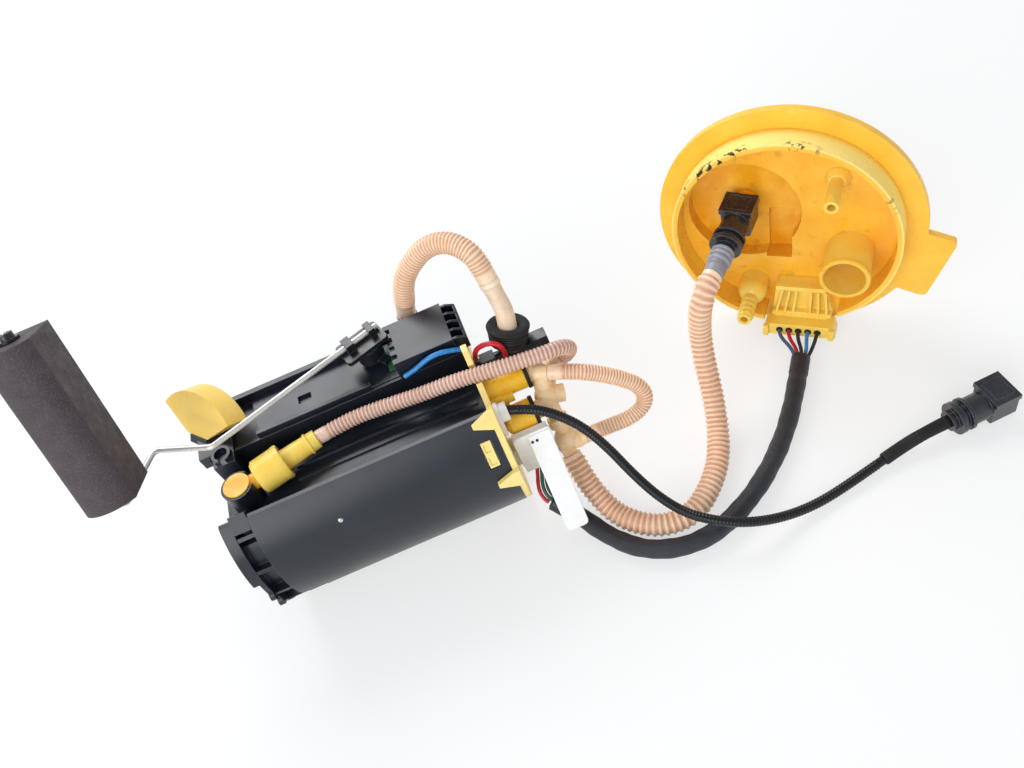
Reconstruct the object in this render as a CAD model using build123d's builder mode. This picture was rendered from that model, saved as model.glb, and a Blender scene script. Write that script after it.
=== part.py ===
from build123d import *

import os
from math import cos, pi, radians, sin, sqrt, tan

# Fuel pump module, lying on its side: reservoir pot with its pump, level sender and float, four
# hoses, a wiring loom and the round tank lid that they lead to.
# Millimetres. X runs along the reservoir from its foot to its mouth, Z is up, the table is z = 0.
# The pieces are drawn about the lid's and reservoir's own places, and keep() moves them so that the
# origin is the middle of the footprint, cords left out.

# ---- driving dimensions -------------------------------------------------------------------------
TOUCH_GAP = 0.3  # between pieces that only lie beside each other
FOOTPRINT_SHIFT = (-6.0, 16.0, 0.0)
RUNNING_GAP = 0.05  # radial, between a shaft and its bore

# Reservoir pot. Its cross-section is drawn about its axis: y away from the viewer, z up.
POT_RADIUS = 48.0
POT_WALL = 2.5
POT_BODY = 122.0
POT_MOUTH_X = -27.0
POT_AXIS_Y = -16.0
RIDGE_Y = -30.5
RIDGE_FLAT = 2.0
GROOVE_LEFT = -26.0
GROOVE_FLOOR = 24.0
GROOVE_RIB = 1.0
GROOVE_RIB_YS = (-19.0, -11.0, -3.0)
GROOVE_RIB_START = 3.0
GROOVE_RIB_LENGTH = 95.0
TRAY_NEAR = 9.5
TRAY_LIP = 1.5
TRAY_FLOOR = 38.0
TRAY_FAR = 37.0
TRAY_WALL_TOP = 44.0
TRAY_BACK = 40.0
RAIL_Y = 20.0
RAIL_WIDTH = 4.0
RAIL_HEIGHT = 6.0
SNAP_ANGLE = 152.0
SNAP_WINDOW = (6.0, 15.0)
SNAP_WINDOW_X = 6.5
VENT_HOLE_RADIUS = 1.25
VENT_HOLE_X = 83.0
SCOOP_ANGLE = 212.0
SCOOP = (12.0, 12.0, 1.5)

# Base collar, closing the reservoir's foot.
BASE_RING = 5.5
BASE_NECK = 8.5
BASE_NECK_RADIUS = 43.0
BASE_PLUG = 4.0
BASE_RIB = 2.0
BASE_RIB_COUNT = 12
BASE_TAB_ANGLE = 131.0
BASE_TAB = 9.0
BASE_LUG_RADIUS = 3.0
BASE_LUG_ANGLES = (186.0, 198.0)
BASE_STEP = 3.0
BASE_STEP_TOP = 6.7
INLET_HOLE_RADIUS = 2.6
INLET_HOLES = 4
INLET_RING = 6.0
INLET_DROP = -14.0
INLET_STEM_RADIUS = 1.6
INLET_VALVE_RADIUS = 10.0
INLET_VALVE = 1.4
PORT_CUP_RADIUS = 8.1
PORT_CUP_HEIGHT = 14.3
PORT_FLOOR = 2.0
DUCT_RADIUS = 2.2
DUCT_DROP = 10.0
BRACKET_LENGTH = 11.0
BRACKET_LOW = (2.0, 28.0)
BRACKET_HIGH = (24.0, 41.0)
HORN_LENGTH = 7.0
HORN_LOW = (11.0, 33.5)
CLIP_RADIUS = 5.0
CLIP_WALL = 1.6
CLIP_HEIGHT = 3.0

# Tank foot, the yellow fan beside the base.
FOOT_RADIUS = 29.0
FOOT_THICKNESS = 12.0
FOOT_FROM = 38.0
FOOT_TO = 142.0
FOOT_APEX = (-168.2, 7.6, 86.0)
FOOT_NORMAL = (-0.6, -0.55, 0.58)
FOOT_LEVEL = (0.676, -0.737, 0.0)
FOOT_SHELL = 2.4
FOOT_WINDOW = (16.0, 9.0)
FOOT_WINDOW_AT = (1.0, 1.1)
CATCH = (11.6, 4.2)
CATCH_AT = (1.0, 3.3)

# Top plate, closing the reservoir's mouth.
PLATE = 3.0
PLATE_STEP = 2.0
PLATE_TRAY_TOP = 36.0
FIN_OUTLINE = ((-20.0, 30.0), (-13.5, 34.0), (-0.7, 46.0), (0.5, 49.0), (5.0, 49.0))
HOSE_REST = (-7.0, 39.6)
HOSE_REST_RADIUS = 4.7
PRONG_LENGTH = 9.0
PRONG_RADIUS = 2.4
PRONG_ANGLES = (133.0, 172.0)
SNAP_TAB = (11.0, 12.5, 2.0)
SNAP_RADIUS = 44.2

# Level sender.
SENDER_PLATE = 2.0
SENDER_PLATE_LENGTH = 106.0
SENDER_RAIL = 2.0
POCKET_SIZE = (7.0, 5.0)
POCKET_X = -109.0
HOUSING_LENGTH = 31.0
HOUSING_END_X = -29.0
HOUSING_HEIGHT = 10.0
HOUSING_WALL = 2.0
HOUSING_TEETH = 4
HOUSING_TOOTH = 3.0
END_BLOCK = 7.0
END_FINS = 4
CARD_SIZE = (18.0, 18.0, 0.8)
CARD_AT = (-55.0, 9.3)
PIVOT_X = -70.0
PIVOT_Y = 13.0
PIVOT_RADIUS = 2.5
HUB_RADIUS = 7.0
HUB_LOW = 91.0
ROTOR_PLATE = (24.0, 15.0, 2.4)
WIPER_REACH = 11.0
WIPER_TURN = -50.0
ARM_WIRE = 3.0
ARM_LEVEL = 103.4
ARM_BEND = 3.5

# Float, leaning back from the upright about X.
FLOAT_FOOT = (-193.6, -32.1, 117.2)
FLOAT_LEAN = 26.0
FLOAT_LENGTH = 81.0
FLOAT_DEPTH = 29.0
FLOAT_WIDTH = 24.0
FLOAT_CROWN = 5.0
FLOAT_STEP = 3.0
FLOAT_LIFT = 4.5
WIRE_DROP = 6.0
CLIP_WASHER = 4.5

# Return check valve in the groove.
VALVE_FOOT = (-151.0, -27.0, 81.8)
VALVE_TURN = 15.3
VALVE_HEAD_RADIUS = 6.7
VALVE_HEAD_TOP = 5.2
VALVE_BRANCH_RADIUS = 4.2
VALVE_BODY_START = 9.5
VALVE_BODY = 14.0
VALVE_BODY_RADIUS = 9.0
VALVE_END = 43.5
VALVE_TAIL_RADIUS = 4.7
VALVE_BORE = 2.6
VALVE_CHAMBER_RADIUS = 6.0
VALVE_CHAMBER_START = 11.0
VALVE_CHAMBER = 8.5
VALVE_DISH = (5.6, 7.6, 2.5)
POPPET = 2.4
POPPET_STEM_RADIUS = 1.6
SPRING_WIRE = 0.7
SPRING_RADIUS = 4.0
SPRING_LENGTH = 2.9
SPRING_PITCH = 1.1

# Quick connectors: local z runs from the mouth to the hose end.
# Local y points to the latch's button.
COUPLING_HEAD = (15.0, 13.5)
COUPLING_HEAD_LOW = -8.4
COUPLING_HEAD_TOP = 8.2
COUPLING_BROW = (17.0, 3.0)
COUPLING_BARREL_RADIUS = 7.2
COUPLING_BARREL_END = 23.0
COUPLING_RINGS = ((23.0, 1.6), (27.5, 2.6))
COUPLING_RING_RADIUS = 8.4
COUPLING_WAIST_RADIUS = 6.0
COUPLING_STEM_RADIUS = 5.2
COUPLING_LENGTH = 33.0
COUPLING_BORE = 4.05
COUPLING_SOCKET = 20.0
COUPLING_DUCT = 2.4
LATCH_LEVEL = 4.4
LATCH_THICKNESS = 3.4
LATCH_WIDTH = 12.8
LATCH_LOW = -5.9
LATCH_TRAVEL = 1.5
LATCH_EYE_RADIUS = 4.25
BUTTON_SIZE = (10.4, 8.6)
BUTTON_LEVEL = 6.7
BUTTON_LOW = 5.7
BUTTON_TOP = 8.0
SEAL_LEVEL = 16.0
SEAL_WIRE_RADIUS = 1.0
SEAL_GROOVE_RADIUS = 6.1
SEAL_SIDE_GAP = 0.2

# Lid. Local z points out of its inner side, towards the hoses; local x is level.
LID_X = 152.0
LID_Y = 5.0
LID_TURN = -128.0
LID_TILT = 6.0
LID_RADIUS = 67.0
LID_PLATE = 4.0
SPIGOT_RADIUS = 57.0
SPIGOT_WALL = 3.0
SPIGOT_HEIGHT = 14.0
RING_GAP_MARGIN = 3.0
LID_BACK_RING = 3.0
POCKET_CENTRE = (-21.8, 7.2)
LID_POCKET_RADIUS = 29.0
LID_POCKET_DEPTH = 8.0
LID_WALL = 3.0
RECESS_SIZE = (13.0, 26.0)
RECESS_CENTRE = (-4.0, -9.0)
RECESS_DEPTH = 3.0
OUTLET_FOOT = (-21.5, 10.5)
OUTLET_LEAN = (-0.12, -0.15, 0.98)
OUTLET_RADIUS = 4.0
OUTLET_LENGTH = 24.0
OUTLET_DUCT = 2.4
CONNECTOR_START = 6.0
VENT_AT = (24.0, 29.8)
VENT_RADIUS = 3.4
VENT_LENGTH = 24.0
VENT_FOOT = (4.0, 2.6, 0.6)
BARB_AT = (-17.0, -40.0)
BARB_BASE_RADIUS = 7.5
BARB_BASE = 12.0
BARB_RADIUS = 4.3
BARB_LENGTH = 32.0
BARB_CORE_RADIUS = 3.6
BARB_TIP_RADIUS = 3.4
BARB_RINGS = 4
BARB_RING_PITCH = 3.6
BARB_RING_LENGTH = 3.0
NIPPLE_DUCT = 2.0
NIPPLE_COLLAR = 0.6
FILLER_AT = (31.5, -14.5)
FILLER_RADIUS = 11.8
FILLER_BORE = 10.2
FILLER_LENGTH = 23.0
FILLER_BEAD = (3.0, 1.0)
BACK_SPIGOT = 20.0
BACK_SPIGOT_RADIUS = 4.0
BACK_FILLER = 22.0
KEY_TAB = (38.0, 12.0)
KEY_TAB_ANGLE = -18.0
PLUG_BODY = (32.0, 21.0, 10.0)
PLUG_CENTRE = (9.0, -45.0)
PLUG_BAR = (37.0, 7.5, 12.0)
PLUG_BAR_CENTRE = (8.5, -60.4)
PLUG_RIBS = 7
SOCKET_SIZE = (36.0, 16.0, 13.0)
SOCKET_WALL = 2.0
PIN_COUNT = 5
PIN_PITCH = 5.0
PIN_SECTION = (2.4, 0.8)

# Fittings outside the mouth, about the top plate's outer face.
OUTLET_BODY_AT = (-23.0, 72.0)
OUTLET_BODY_RADIUS = 6.0
OUTLET_BODY_END = -2.0
OUTLET_BOSS = ((-8.0, -18.5, 74.0), (-8.0, -18.5, 78.5), 2.2)
OUTLET_STUB = ((-24.0, -30.0, 70.0), (-12.5, -30.0, 70.0), 2.7)
PLATE_DUCT_AT = (-7.0, 18.0)
REGULATOR_AT = (-36.5, 60.5)
REGULATOR_RADIUS = 7.4
REGULATOR_NECK = (4.4, 2.4)
REGULATOR_END = -5.0
TOWER_AT = (-10.5, 76.8)
TOWER_PIPE_RADIUS = 4.2
TOWER_END = 14.0
TOWER_NUT = (6.2, 7.5, 3.0)
TOWER_PLUG = (6.4, 9.0)
TOWER_PLUG_FLOOR = 1.5
TOWER_PLUG_HOLE = 2.6
TOWER_X = -6.4
TOWER_KNUCKLE = 5.0
CUP_FLARE = (4.0, 8.0)
CUP_RADIUS = 8.9
CUP_BORE = 6.2
CUP_DEPTH = 8.0
CUP_LEAN = (0.27, 0.18, 0.95)
CUP_HEIGHT = 17.0
FEED_CUFF_RADIUS = 4.9
COLLAR_AT = (-39.0, 72.5)
COLLAR_RADIUS = 4.8
COLLAR_LENGTH = 6.0
COLLAR_FLANGE = ((-24.0, -44.5, 61.5), (-22.0, -41.4, 74.0))
BLOCK_NEAR_Y = -48.0
BLOCK_TOP = 60.5
BLOCK_LOW = 30.5
BLOCK_START = -21.6
BLOCK_END = -3.4
BLOCK_FACE = 3.2
BLOCK_STEP = 49.0
BLOCK_DEPTH = 12.0
BLOCK_TONGUE = 9.0
BLOCK_HOLE_RADIUS = 0.8
STRAP_WIDTH = 9.4
STRAP_THICKNESS = 1.8
STRAP_X = -8.6
STRAP_TOP = (-49.0, 59.0)
STRAP_FOOT = (-80.0, 15.5)
ELBOW_DROP = 4.0
ELBOW_FLANGE_RADIUS = 6.5
FITTING_BALL = 6.2
FITTING_PIPE = 4.6
NIPPLE_RADIUS = 3.9
NIPPLE_BALL = 4.5
FITTING_CENTRE = (2.5, -31.0, 61.0)
FITTING_NUB = (11.0, -32.0, 59.0)
TEE_CENTRE = (3.5, -42.5, 37.5)
NIPPLE_LENGTH = 5.0
SPLICE = 0.5
SPLICE_RADIUS = 5.4

# Cords: diameters, then routes.
FEED_HOSE = 11.0
JET_HOSE = 8.0
LINK_HOSE = 8.4
RETURN_HOSE = 12.0
AUX_LINE = 5.0
AUX_SLEEVE = 6.4
SLEEVE_RUN = 11.5
LOOM = 9.8
LEAD_WIRE = 2.0
LEAD_PITCH = 2.35
BLOCK_LEAD_X = -12.5
BLOCK_LEAD_PITCH = 2.4
JUMPER_WIRE = 2.6
RETURN_CUFF = 16.0
CUFF_RADIUS = 5.8
CUFF_TIP_RADIUS = 5.0
CUFF_TIP = 6.0

# Fuel pump, inside the reservoir.
PUMP_RADIUS = 19.0
PUMP_WALL = 1.4
PUMP_LENGTH = 60.0
PUMP_START = -128.0
PUMP_DROP = -12.0
PUMP_CAP = 8.0
PUMP_SPIGOT = 2.0
PUMP_NIPPLE = (3.5, 1.6)
PUMP_NIPPLE_DROP = 9.0
PUMP_OUTLET = (4.0, 10.0)
SHAFT_RADIUS = 2.0
SHAFT_OVERHANG = 3.0
ARMATURE_RADIUS = 11.5
ARMATURE_START = 15.0
ARMATURE_LENGTH = 30.0
ARMATURE_SLOTS = 8
IMPELLER_RADIUS = 15.0
IMPELLER_START = 4.0
IMPELLER = 3.5
IMPELLER_VANES = 16
MAGNET_THICKNESS = 4.0
MAGNET_SPAN = 130.0
SLEEVE_WALL = 3.0
SLEEVE_START = 22.0
SLEEVE_LENGTH = 16.0
SLEEVE_LEG = 8.0
STRAINER = (5.0, 34.0, 26.0)
STRAINER_AT = (0.0, -20.0)
JET_AT = (24.0, -28.0)
JET_RADIUS = 5.0
JET_BORE = 3.0
JET_LENGTH = 60.0
JET_TAPER = 8.0
JET_THROAT = 10.0
JET_NOZZLE = 1.2

# ---- planes -------------------------------------------------------------------------------------
POT = Plane(origin=(POT_MOUTH_X, POT_AXIS_Y, POT_RADIUS), x_dir=(0, 1, 0), z_dir=(1, 0, 0))
POT_FOOT = -(POT_BODY + BASE_NECK + BASE_RING)
FOOT_X = POT_MOUTH_X + POT_FOOT
TRAY_TOP = POT_RADIUS + TRAY_FLOOR
GROOVE_Z = POT_RADIUS + GROOVE_FLOOR
PLATE_FACE = POT_MOUTH_X + PLATE

LEAN = (0.0, sin(radians(FLOAT_LEAN)), cos(radians(FLOAT_LEAN)))
FLOAT = Plane(origin=FLOAT_FOOT, x_dir=(0, -LEAN[2], LEAN[1]), z_dir=LEAN)
VALVE_AXIS = (cos(radians(VALVE_TURN)), sin(radians(VALVE_TURN)), 0.0)
VALVE = Plane(origin=VALVE_FOOT, x_dir=(0, 0, 1), z_dir=VALVE_AXIS)

LID_OUT = (
    cos(radians(LID_TILT)) * cos(radians(LID_TURN)),
    cos(radians(LID_TILT)) * sin(radians(LID_TURN)),
    sin(radians(LID_TILT)),
)
LID_LEVEL = (-sin(radians(LID_TURN)), cos(radians(LID_TURN)), 0.0)
LID_Z = LID_RADIUS * cos(radians(LID_TILT)) + LID_PLATE * sin(radians(LID_TILT))
LID = Plane(origin=(LID_X, LID_Y, LID_Z), x_dir=LID_LEVEL, z_dir=LID_OUT)


def on_lid(across, up, out=0.0):
    """Point of the lid's own frame, in the part's frame."""
    return LID.from_local_coords(Vector(across, up, out))


OUTLET_BASE = on_lid(OUTLET_FOOT[0], OUTLET_FOOT[1], -LID_POCKET_DEPTH)
OUTLET_AXIS = LID.from_local_coords(Vector(*OUTLET_LEAN)) - LID.origin
OUTLET = Plane(origin=OUTLET_BASE, x_dir=LID_LEVEL, z_dir=OUTLET_AXIS)
LID_CONNECTOR = OUTLET.offset(CONNECTOR_START)
CUFF_START = OUTLET.offset(CONNECTOR_START + COUPLING_LENGTH)
RETURN_END = OUTLET.offset(CONNECTOR_START + COUPLING_LENGTH + RETURN_CUFF).origin

# ---- cord routes, chosen by hand ----------------------------------------------------------------
FEED_ROUTE = [
    (-47, 33.5, 88),
    (-44.5, 33, 99),
    (-40, 32.5, 112),
    (-31.5, 32, 121),
    (-22, 30, 127.5),
    (-12.5, 25, 129),
    (-6, 17.5, 126.5),
    (-3, 11.5, 122),
    (-2, 7.5, 112),
]
JET_ROUTE = [
    tuple(VALVE.offset(VALVE_END).origin),
    (-91.5, -13, 82.5),
    (-72.5, -15, 83),
    (-54, -18.5, 84.5),
    (-35.5, -21.5, 87),
    (-18.5, -25, 88),
    (-2.5, -26.5, 87),
    (10.5, -26.5, 85.5),
    (18.5, -24, 82),
    (22.5, -20.5, 75),
    (20, -17, 67),
    (13.5, -14.5, 61),
]
LINK_ROUTE = [
    (7.6, -28, 73),
    (18, -33.5, 73.5),
    (29, -35.5, 67),
    (39, -38, 59.2),
    (46.2, -41, 52.5),
    (48.2, -44, 46),
    (44.5, -46.4, 40.4),
    (35, -48, 38.6),
    (24, -46.8, 38.2),
    (13.5, -45.5, 36.5),
]
RETURN_ROUTE = [
    (2.5, -46.8, 28.5),
    (3.5, -54.5, 21),
    (6, -63.5, 13),
    (11, -76, 7),
    (20, -87, 6.5),
    (31.5, -93.8, 6.5),
    (46, -93.8, 6.5),
    (58.5, -85.5, 6.5),
    (70.5, -72, 6.5),
    (78.3, -56.2, 9),
    (83.1, -42, 20),
    (85.2, -30.5, 34.5),
    (87.4, -23.5, 46.5),
    (88.8, -21.8, 55.5),
    (90, -21.5, 63.5),
    (93, -20.3, 70),
    (97, -17, 73.8),
    tuple(RETURN_END),
]
AUX_ROUTE = [
    (-20.5, -38.4, 72.8),
    (-8, -42.3, 71.3),
    (2.5, -46.5, 64.5),
    (12, -52.5, 55),
    (19.5, -62, 44),
    (25.5, -74.5, 33.5),
    (32, -87, 26),
    (40.5, -98.5, 20.6),
    (51, -108, 19.8),
    (64, -113.5, 15.5),
    (80.5, -115, 8.5),
    (99, -114, 3.6),
    (119, -111, 3.2),
    (141.5, -106.5, 4.4),
]
LOOM_ROUTE = [
    (-15.5, -60, 16),
    (-6, -69.5, 8.5),
    (3, -85.5, 5.4),
    (16, -100.5, 5.4),
    (33.5, -107.8, 5.4),
    (52, -107.5, 5.4),
    (72, -99.5, 5.4),
    (91, -87, 5.4),
    (108, -71.5, 5.4),
    (123.5, -53, 5.4),
    (138.5, -32.5, 6.2),
]
JUMPER_ROUTE = [
    (-22.6, -11.5, 84.5),
    (-22, -12.5, 91),
    (-16.5, -14.5, 95.5),
    (-10.5, -18, 96.5),
    (-8, -18.2, 91),
    (-8.7, -18.3, 84.8),
    (-8, -18.5, 78.5),
]
SENDER_LEAD_ROUTE = [
    (-58, -7.5, 89),
    (-52, -7.6, 90.5),
    (-46.5, -8.1, 93.8),
    (-40.5, -8.2, 95.5),
    (-33.5, -8.5, 95),
    (-27, -8, 91.5),
]

FREE_CONNECTOR = Plane(origin=(210.0, -101.9, 8.7), x_dir=(0.05, -1, 0), z_dir=(-1, -0.05, 0))


def keep(piece, name):
    """Label one finished piece, move it to the footprint's own axes and write its STEP file."""
    placed = piece.part.moved(Location(FOOTPRINT_SHIFT))
    placed.label = name
    export_step(placed, f"parts/{name}.step")


def around_pot(angle, x, radius=POT_RADIUS):
    """Plane on the reservoir's skin at an angle from +Y: z outward, local x along the reservoir."""
    out = (0, cos(radians(angle)), sin(radians(angle)))
    foot = (x, POT_AXIS_Y + radius * out[1], POT_RADIUS + radius * out[2])
    return Plane(origin=foot, x_dir=(1, 0, 0), z_dir=out)


def at_pot(point, x):
    """Point of the reservoir's cross-section at a station along X, in the part's frame."""
    return (x, POT_AXIS_Y + point[0], POT_RADIUS + point[1])


def block(low, high, mode=Mode.ADD):
    """Put a box between two opposite corners into the piece being built."""
    size = Vector(*high) - Vector(*low)
    with Locations((Vector(*low) + Vector(*high)) / 2):
        Box(size.X, size.Y, size.Z, mode=mode)


def rod(start, end, radius, mode=Mode.ADD, tip=None):
    """Put a round bar between two points into the piece being built, tapered when tip is given."""
    axis = Vector(*end) - Vector(*start)
    seat = (Align.CENTER, Align.CENTER, Align.MIN)
    with Locations(Plane(origin=start, z_dir=axis)):
        if tip is None:
            Cylinder(radius, axis.length, align=seat, mode=mode)
        else:
            Cone(radius, tip, axis.length, align=seat, mode=mode)


def disc(plane, start, end, radius, mode=Mode.ADD, tip=None):
    """Put a round bar along a plane's z axis, between two stations, into the piece being built."""
    rod(plane.offset(start).origin, plane.offset(end).origin, radius, mode=mode, tip=tip)


def ball(centre, radius, mode=Mode.ADD):
    """Put a sphere into the piece being built."""
    with Locations(centre):
        Sphere(radius, mode=mode)


def bend_radii(route):
    """Radius of each corner: 0.45 of the shorter run beside it, over the tangent of half the turn."""
    points = [Vector(*point) for point in route]
    radii = []
    for before, corner, after in zip(points, points[1:], points[2:]):
        run_in = corner - before
        run_out = after - corner
        half_turn = radians(run_in.get_angle(run_out)) / 2
        radii.append(0.45 * min(run_in.length, run_out.length) / tan(half_turn))
    return radii


def cord_tube(route, diameter):
    """Sweep a round section along a route of straight runs and arcs, in the piece being built."""
    with BuildLine() as path:
        FilletPolyline(*route, radius=bend_radii(route))
    wire = path.wires()[0]
    with BuildSketch(Plane(origin=wire @ 0, z_dir=wire % 0)) as section:
        Circle(diameter / 2)
    sweep(section.sketch, path=wire)
    return wire.length


def heading(start, end):
    """Unit vector from one point to another."""
    return (Vector(*end) - Vector(*start)).normalized()


AUX_SLEEVE_ROUTE = [
    AUX_ROUTE[-1],
    tuple(Vector(*AUX_ROUTE[-1]) + heading(AUX_ROUTE[-2], AUX_ROUTE[-1]) * SLEEVE_RUN),
    tuple(FREE_CONNECTOR.offset(COUPLING_LENGTH + SLEEVE_RUN).origin),
    tuple(FREE_CONNECTOR.offset(COUPLING_LENGTH).origin),
]


def pot_section(walls=True):
    """Draw the reservoir's outline in the sketch being built, with or without the tray's side walls."""
    lip = TRAY_LIP if walls else 0.2
    wall_top = TRAY_WALL_TOP if walls else TRAY_FLOOR + 0.2
    ridge_z = sqrt(POT_RADIUS**2 - RIDGE_Y**2)
    with BuildLine() as outline:
        top = Polyline(
            (RIDGE_Y, ridge_z),
            (RIDGE_Y + RIDGE_FLAT, ridge_z),
            (GROOVE_LEFT, GROOVE_FLOOR),
            (TRAY_NEAR, GROOVE_FLOOR),
            (TRAY_NEAR, TRAY_FLOOR + lip),
            (TRAY_NEAR + TRAY_LIP, TRAY_FLOOR + lip),
            (TRAY_NEAR + TRAY_LIP, TRAY_FLOOR),
            (TRAY_FAR, TRAY_FLOOR),
            (TRAY_FAR, wall_top),
            (TRAY_BACK, wall_top),
            (TRAY_BACK, sqrt(POT_RADIUS**2 - TRAY_BACK**2)),
        )
        ThreePointArc(top @ 1, (0, -POT_RADIUS), top @ 0)
    make_face(outline.edges())


def cavity_section(gap=0.0):
    """Draw the reservoir's inside below the groove, smaller by gap, in the sketch being built."""
    inside = POT_RADIUS - POT_WALL - gap
    ceiling = GROOVE_FLOOR - POT_WALL - gap
    side = sqrt(inside**2 - ceiling**2)
    with BuildLine() as outline:
        roof = Line((-side, ceiling), (side, ceiling))
        ThreePointArc(roof @ 1, (0, -inside), roof @ 0)
    make_face(outline.edges())


os.makedirs("parts", exist_ok=True)

# ---- reservoir ----------------------------------------------------------------------------------
TRAY_MIDDLE = (TRAY_NEAR + POT_WALL + TRAY_BACK - POT_WALL) / 2
with BuildPart() as pot_shell:
    with BuildSketch(POT):
        pot_section()
    extrude(amount=-POT_BODY)
    with BuildSketch(POT):
        cavity_section()
    extrude(amount=-POT_BODY, mode=Mode.SUBTRACT)
    # the tray's hollow side, open to the inside
    block(
        at_pot((TRAY_NEAR + POT_WALL, 0), POT_MOUTH_X - POT_BODY + POT_WALL),
        at_pot((TRAY_BACK - POT_WALL, TRAY_FLOOR - POT_WALL), POT_MOUTH_X - POT_WALL),
        mode=Mode.SUBTRACT,
    )
    # feet along the underside
    with BuildSketch(POT):
        with Locations(*[(side * RAIL_Y, RAIL_HEIGHT / 2 - POT_RADIUS) for side in (-1, 1)]):
            Rectangle(RAIL_WIDTH, RAIL_HEIGHT)
    extrude(amount=-POT_BODY)
    # ribs along the groove
    with BuildSketch(POT.offset(-GROOVE_RIB_START)):
        with Locations(*[(rib, GROOVE_FLOOR) for rib in GROOVE_RIB_YS]):
            Rectangle(2 * GROOVE_RIB, 2 * GROOVE_RIB)
    extrude(amount=-GROOVE_RIB_LENGTH)
    # window for the top plate's snap, vent hole, drain scoop
    with Locations(around_pot(SNAP_ANGLE, POT_MOUTH_X - SNAP_WINDOW_X)):
        Box(SNAP_WINDOW[0], SNAP_WINDOW[1], 4 * POT_WALL, mode=Mode.SUBTRACT)
    with Locations(around_pot(SNAP_ANGLE, POT_MOUTH_X, SNAP_RADIUS)):
        Box(
            2 * (SNAP_TAB[0] + TOUCH_GAP),
            SNAP_TAB[1] + 2 * TOUCH_GAP,
            SNAP_TAB[2] + 2 * TOUCH_GAP,
            mode=Mode.SUBTRACT,
        )
    with Locations(around_pot(SNAP_ANGLE, POT_MOUTH_X - VENT_HOLE_X)):
        Cylinder(VENT_HOLE_RADIUS, 4 * POT_WALL, mode=Mode.SUBTRACT)
    with Locations(around_pot(SCOOP_ANGLE, POT_MOUTH_X - POT_BODY + SCOOP[0] / 2)):
        Box(SCOOP[0], SCOOP[1], 2 * SCOOP[2], mode=Mode.SUBTRACT)
keep(pot_shell, "pot_shell")

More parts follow.
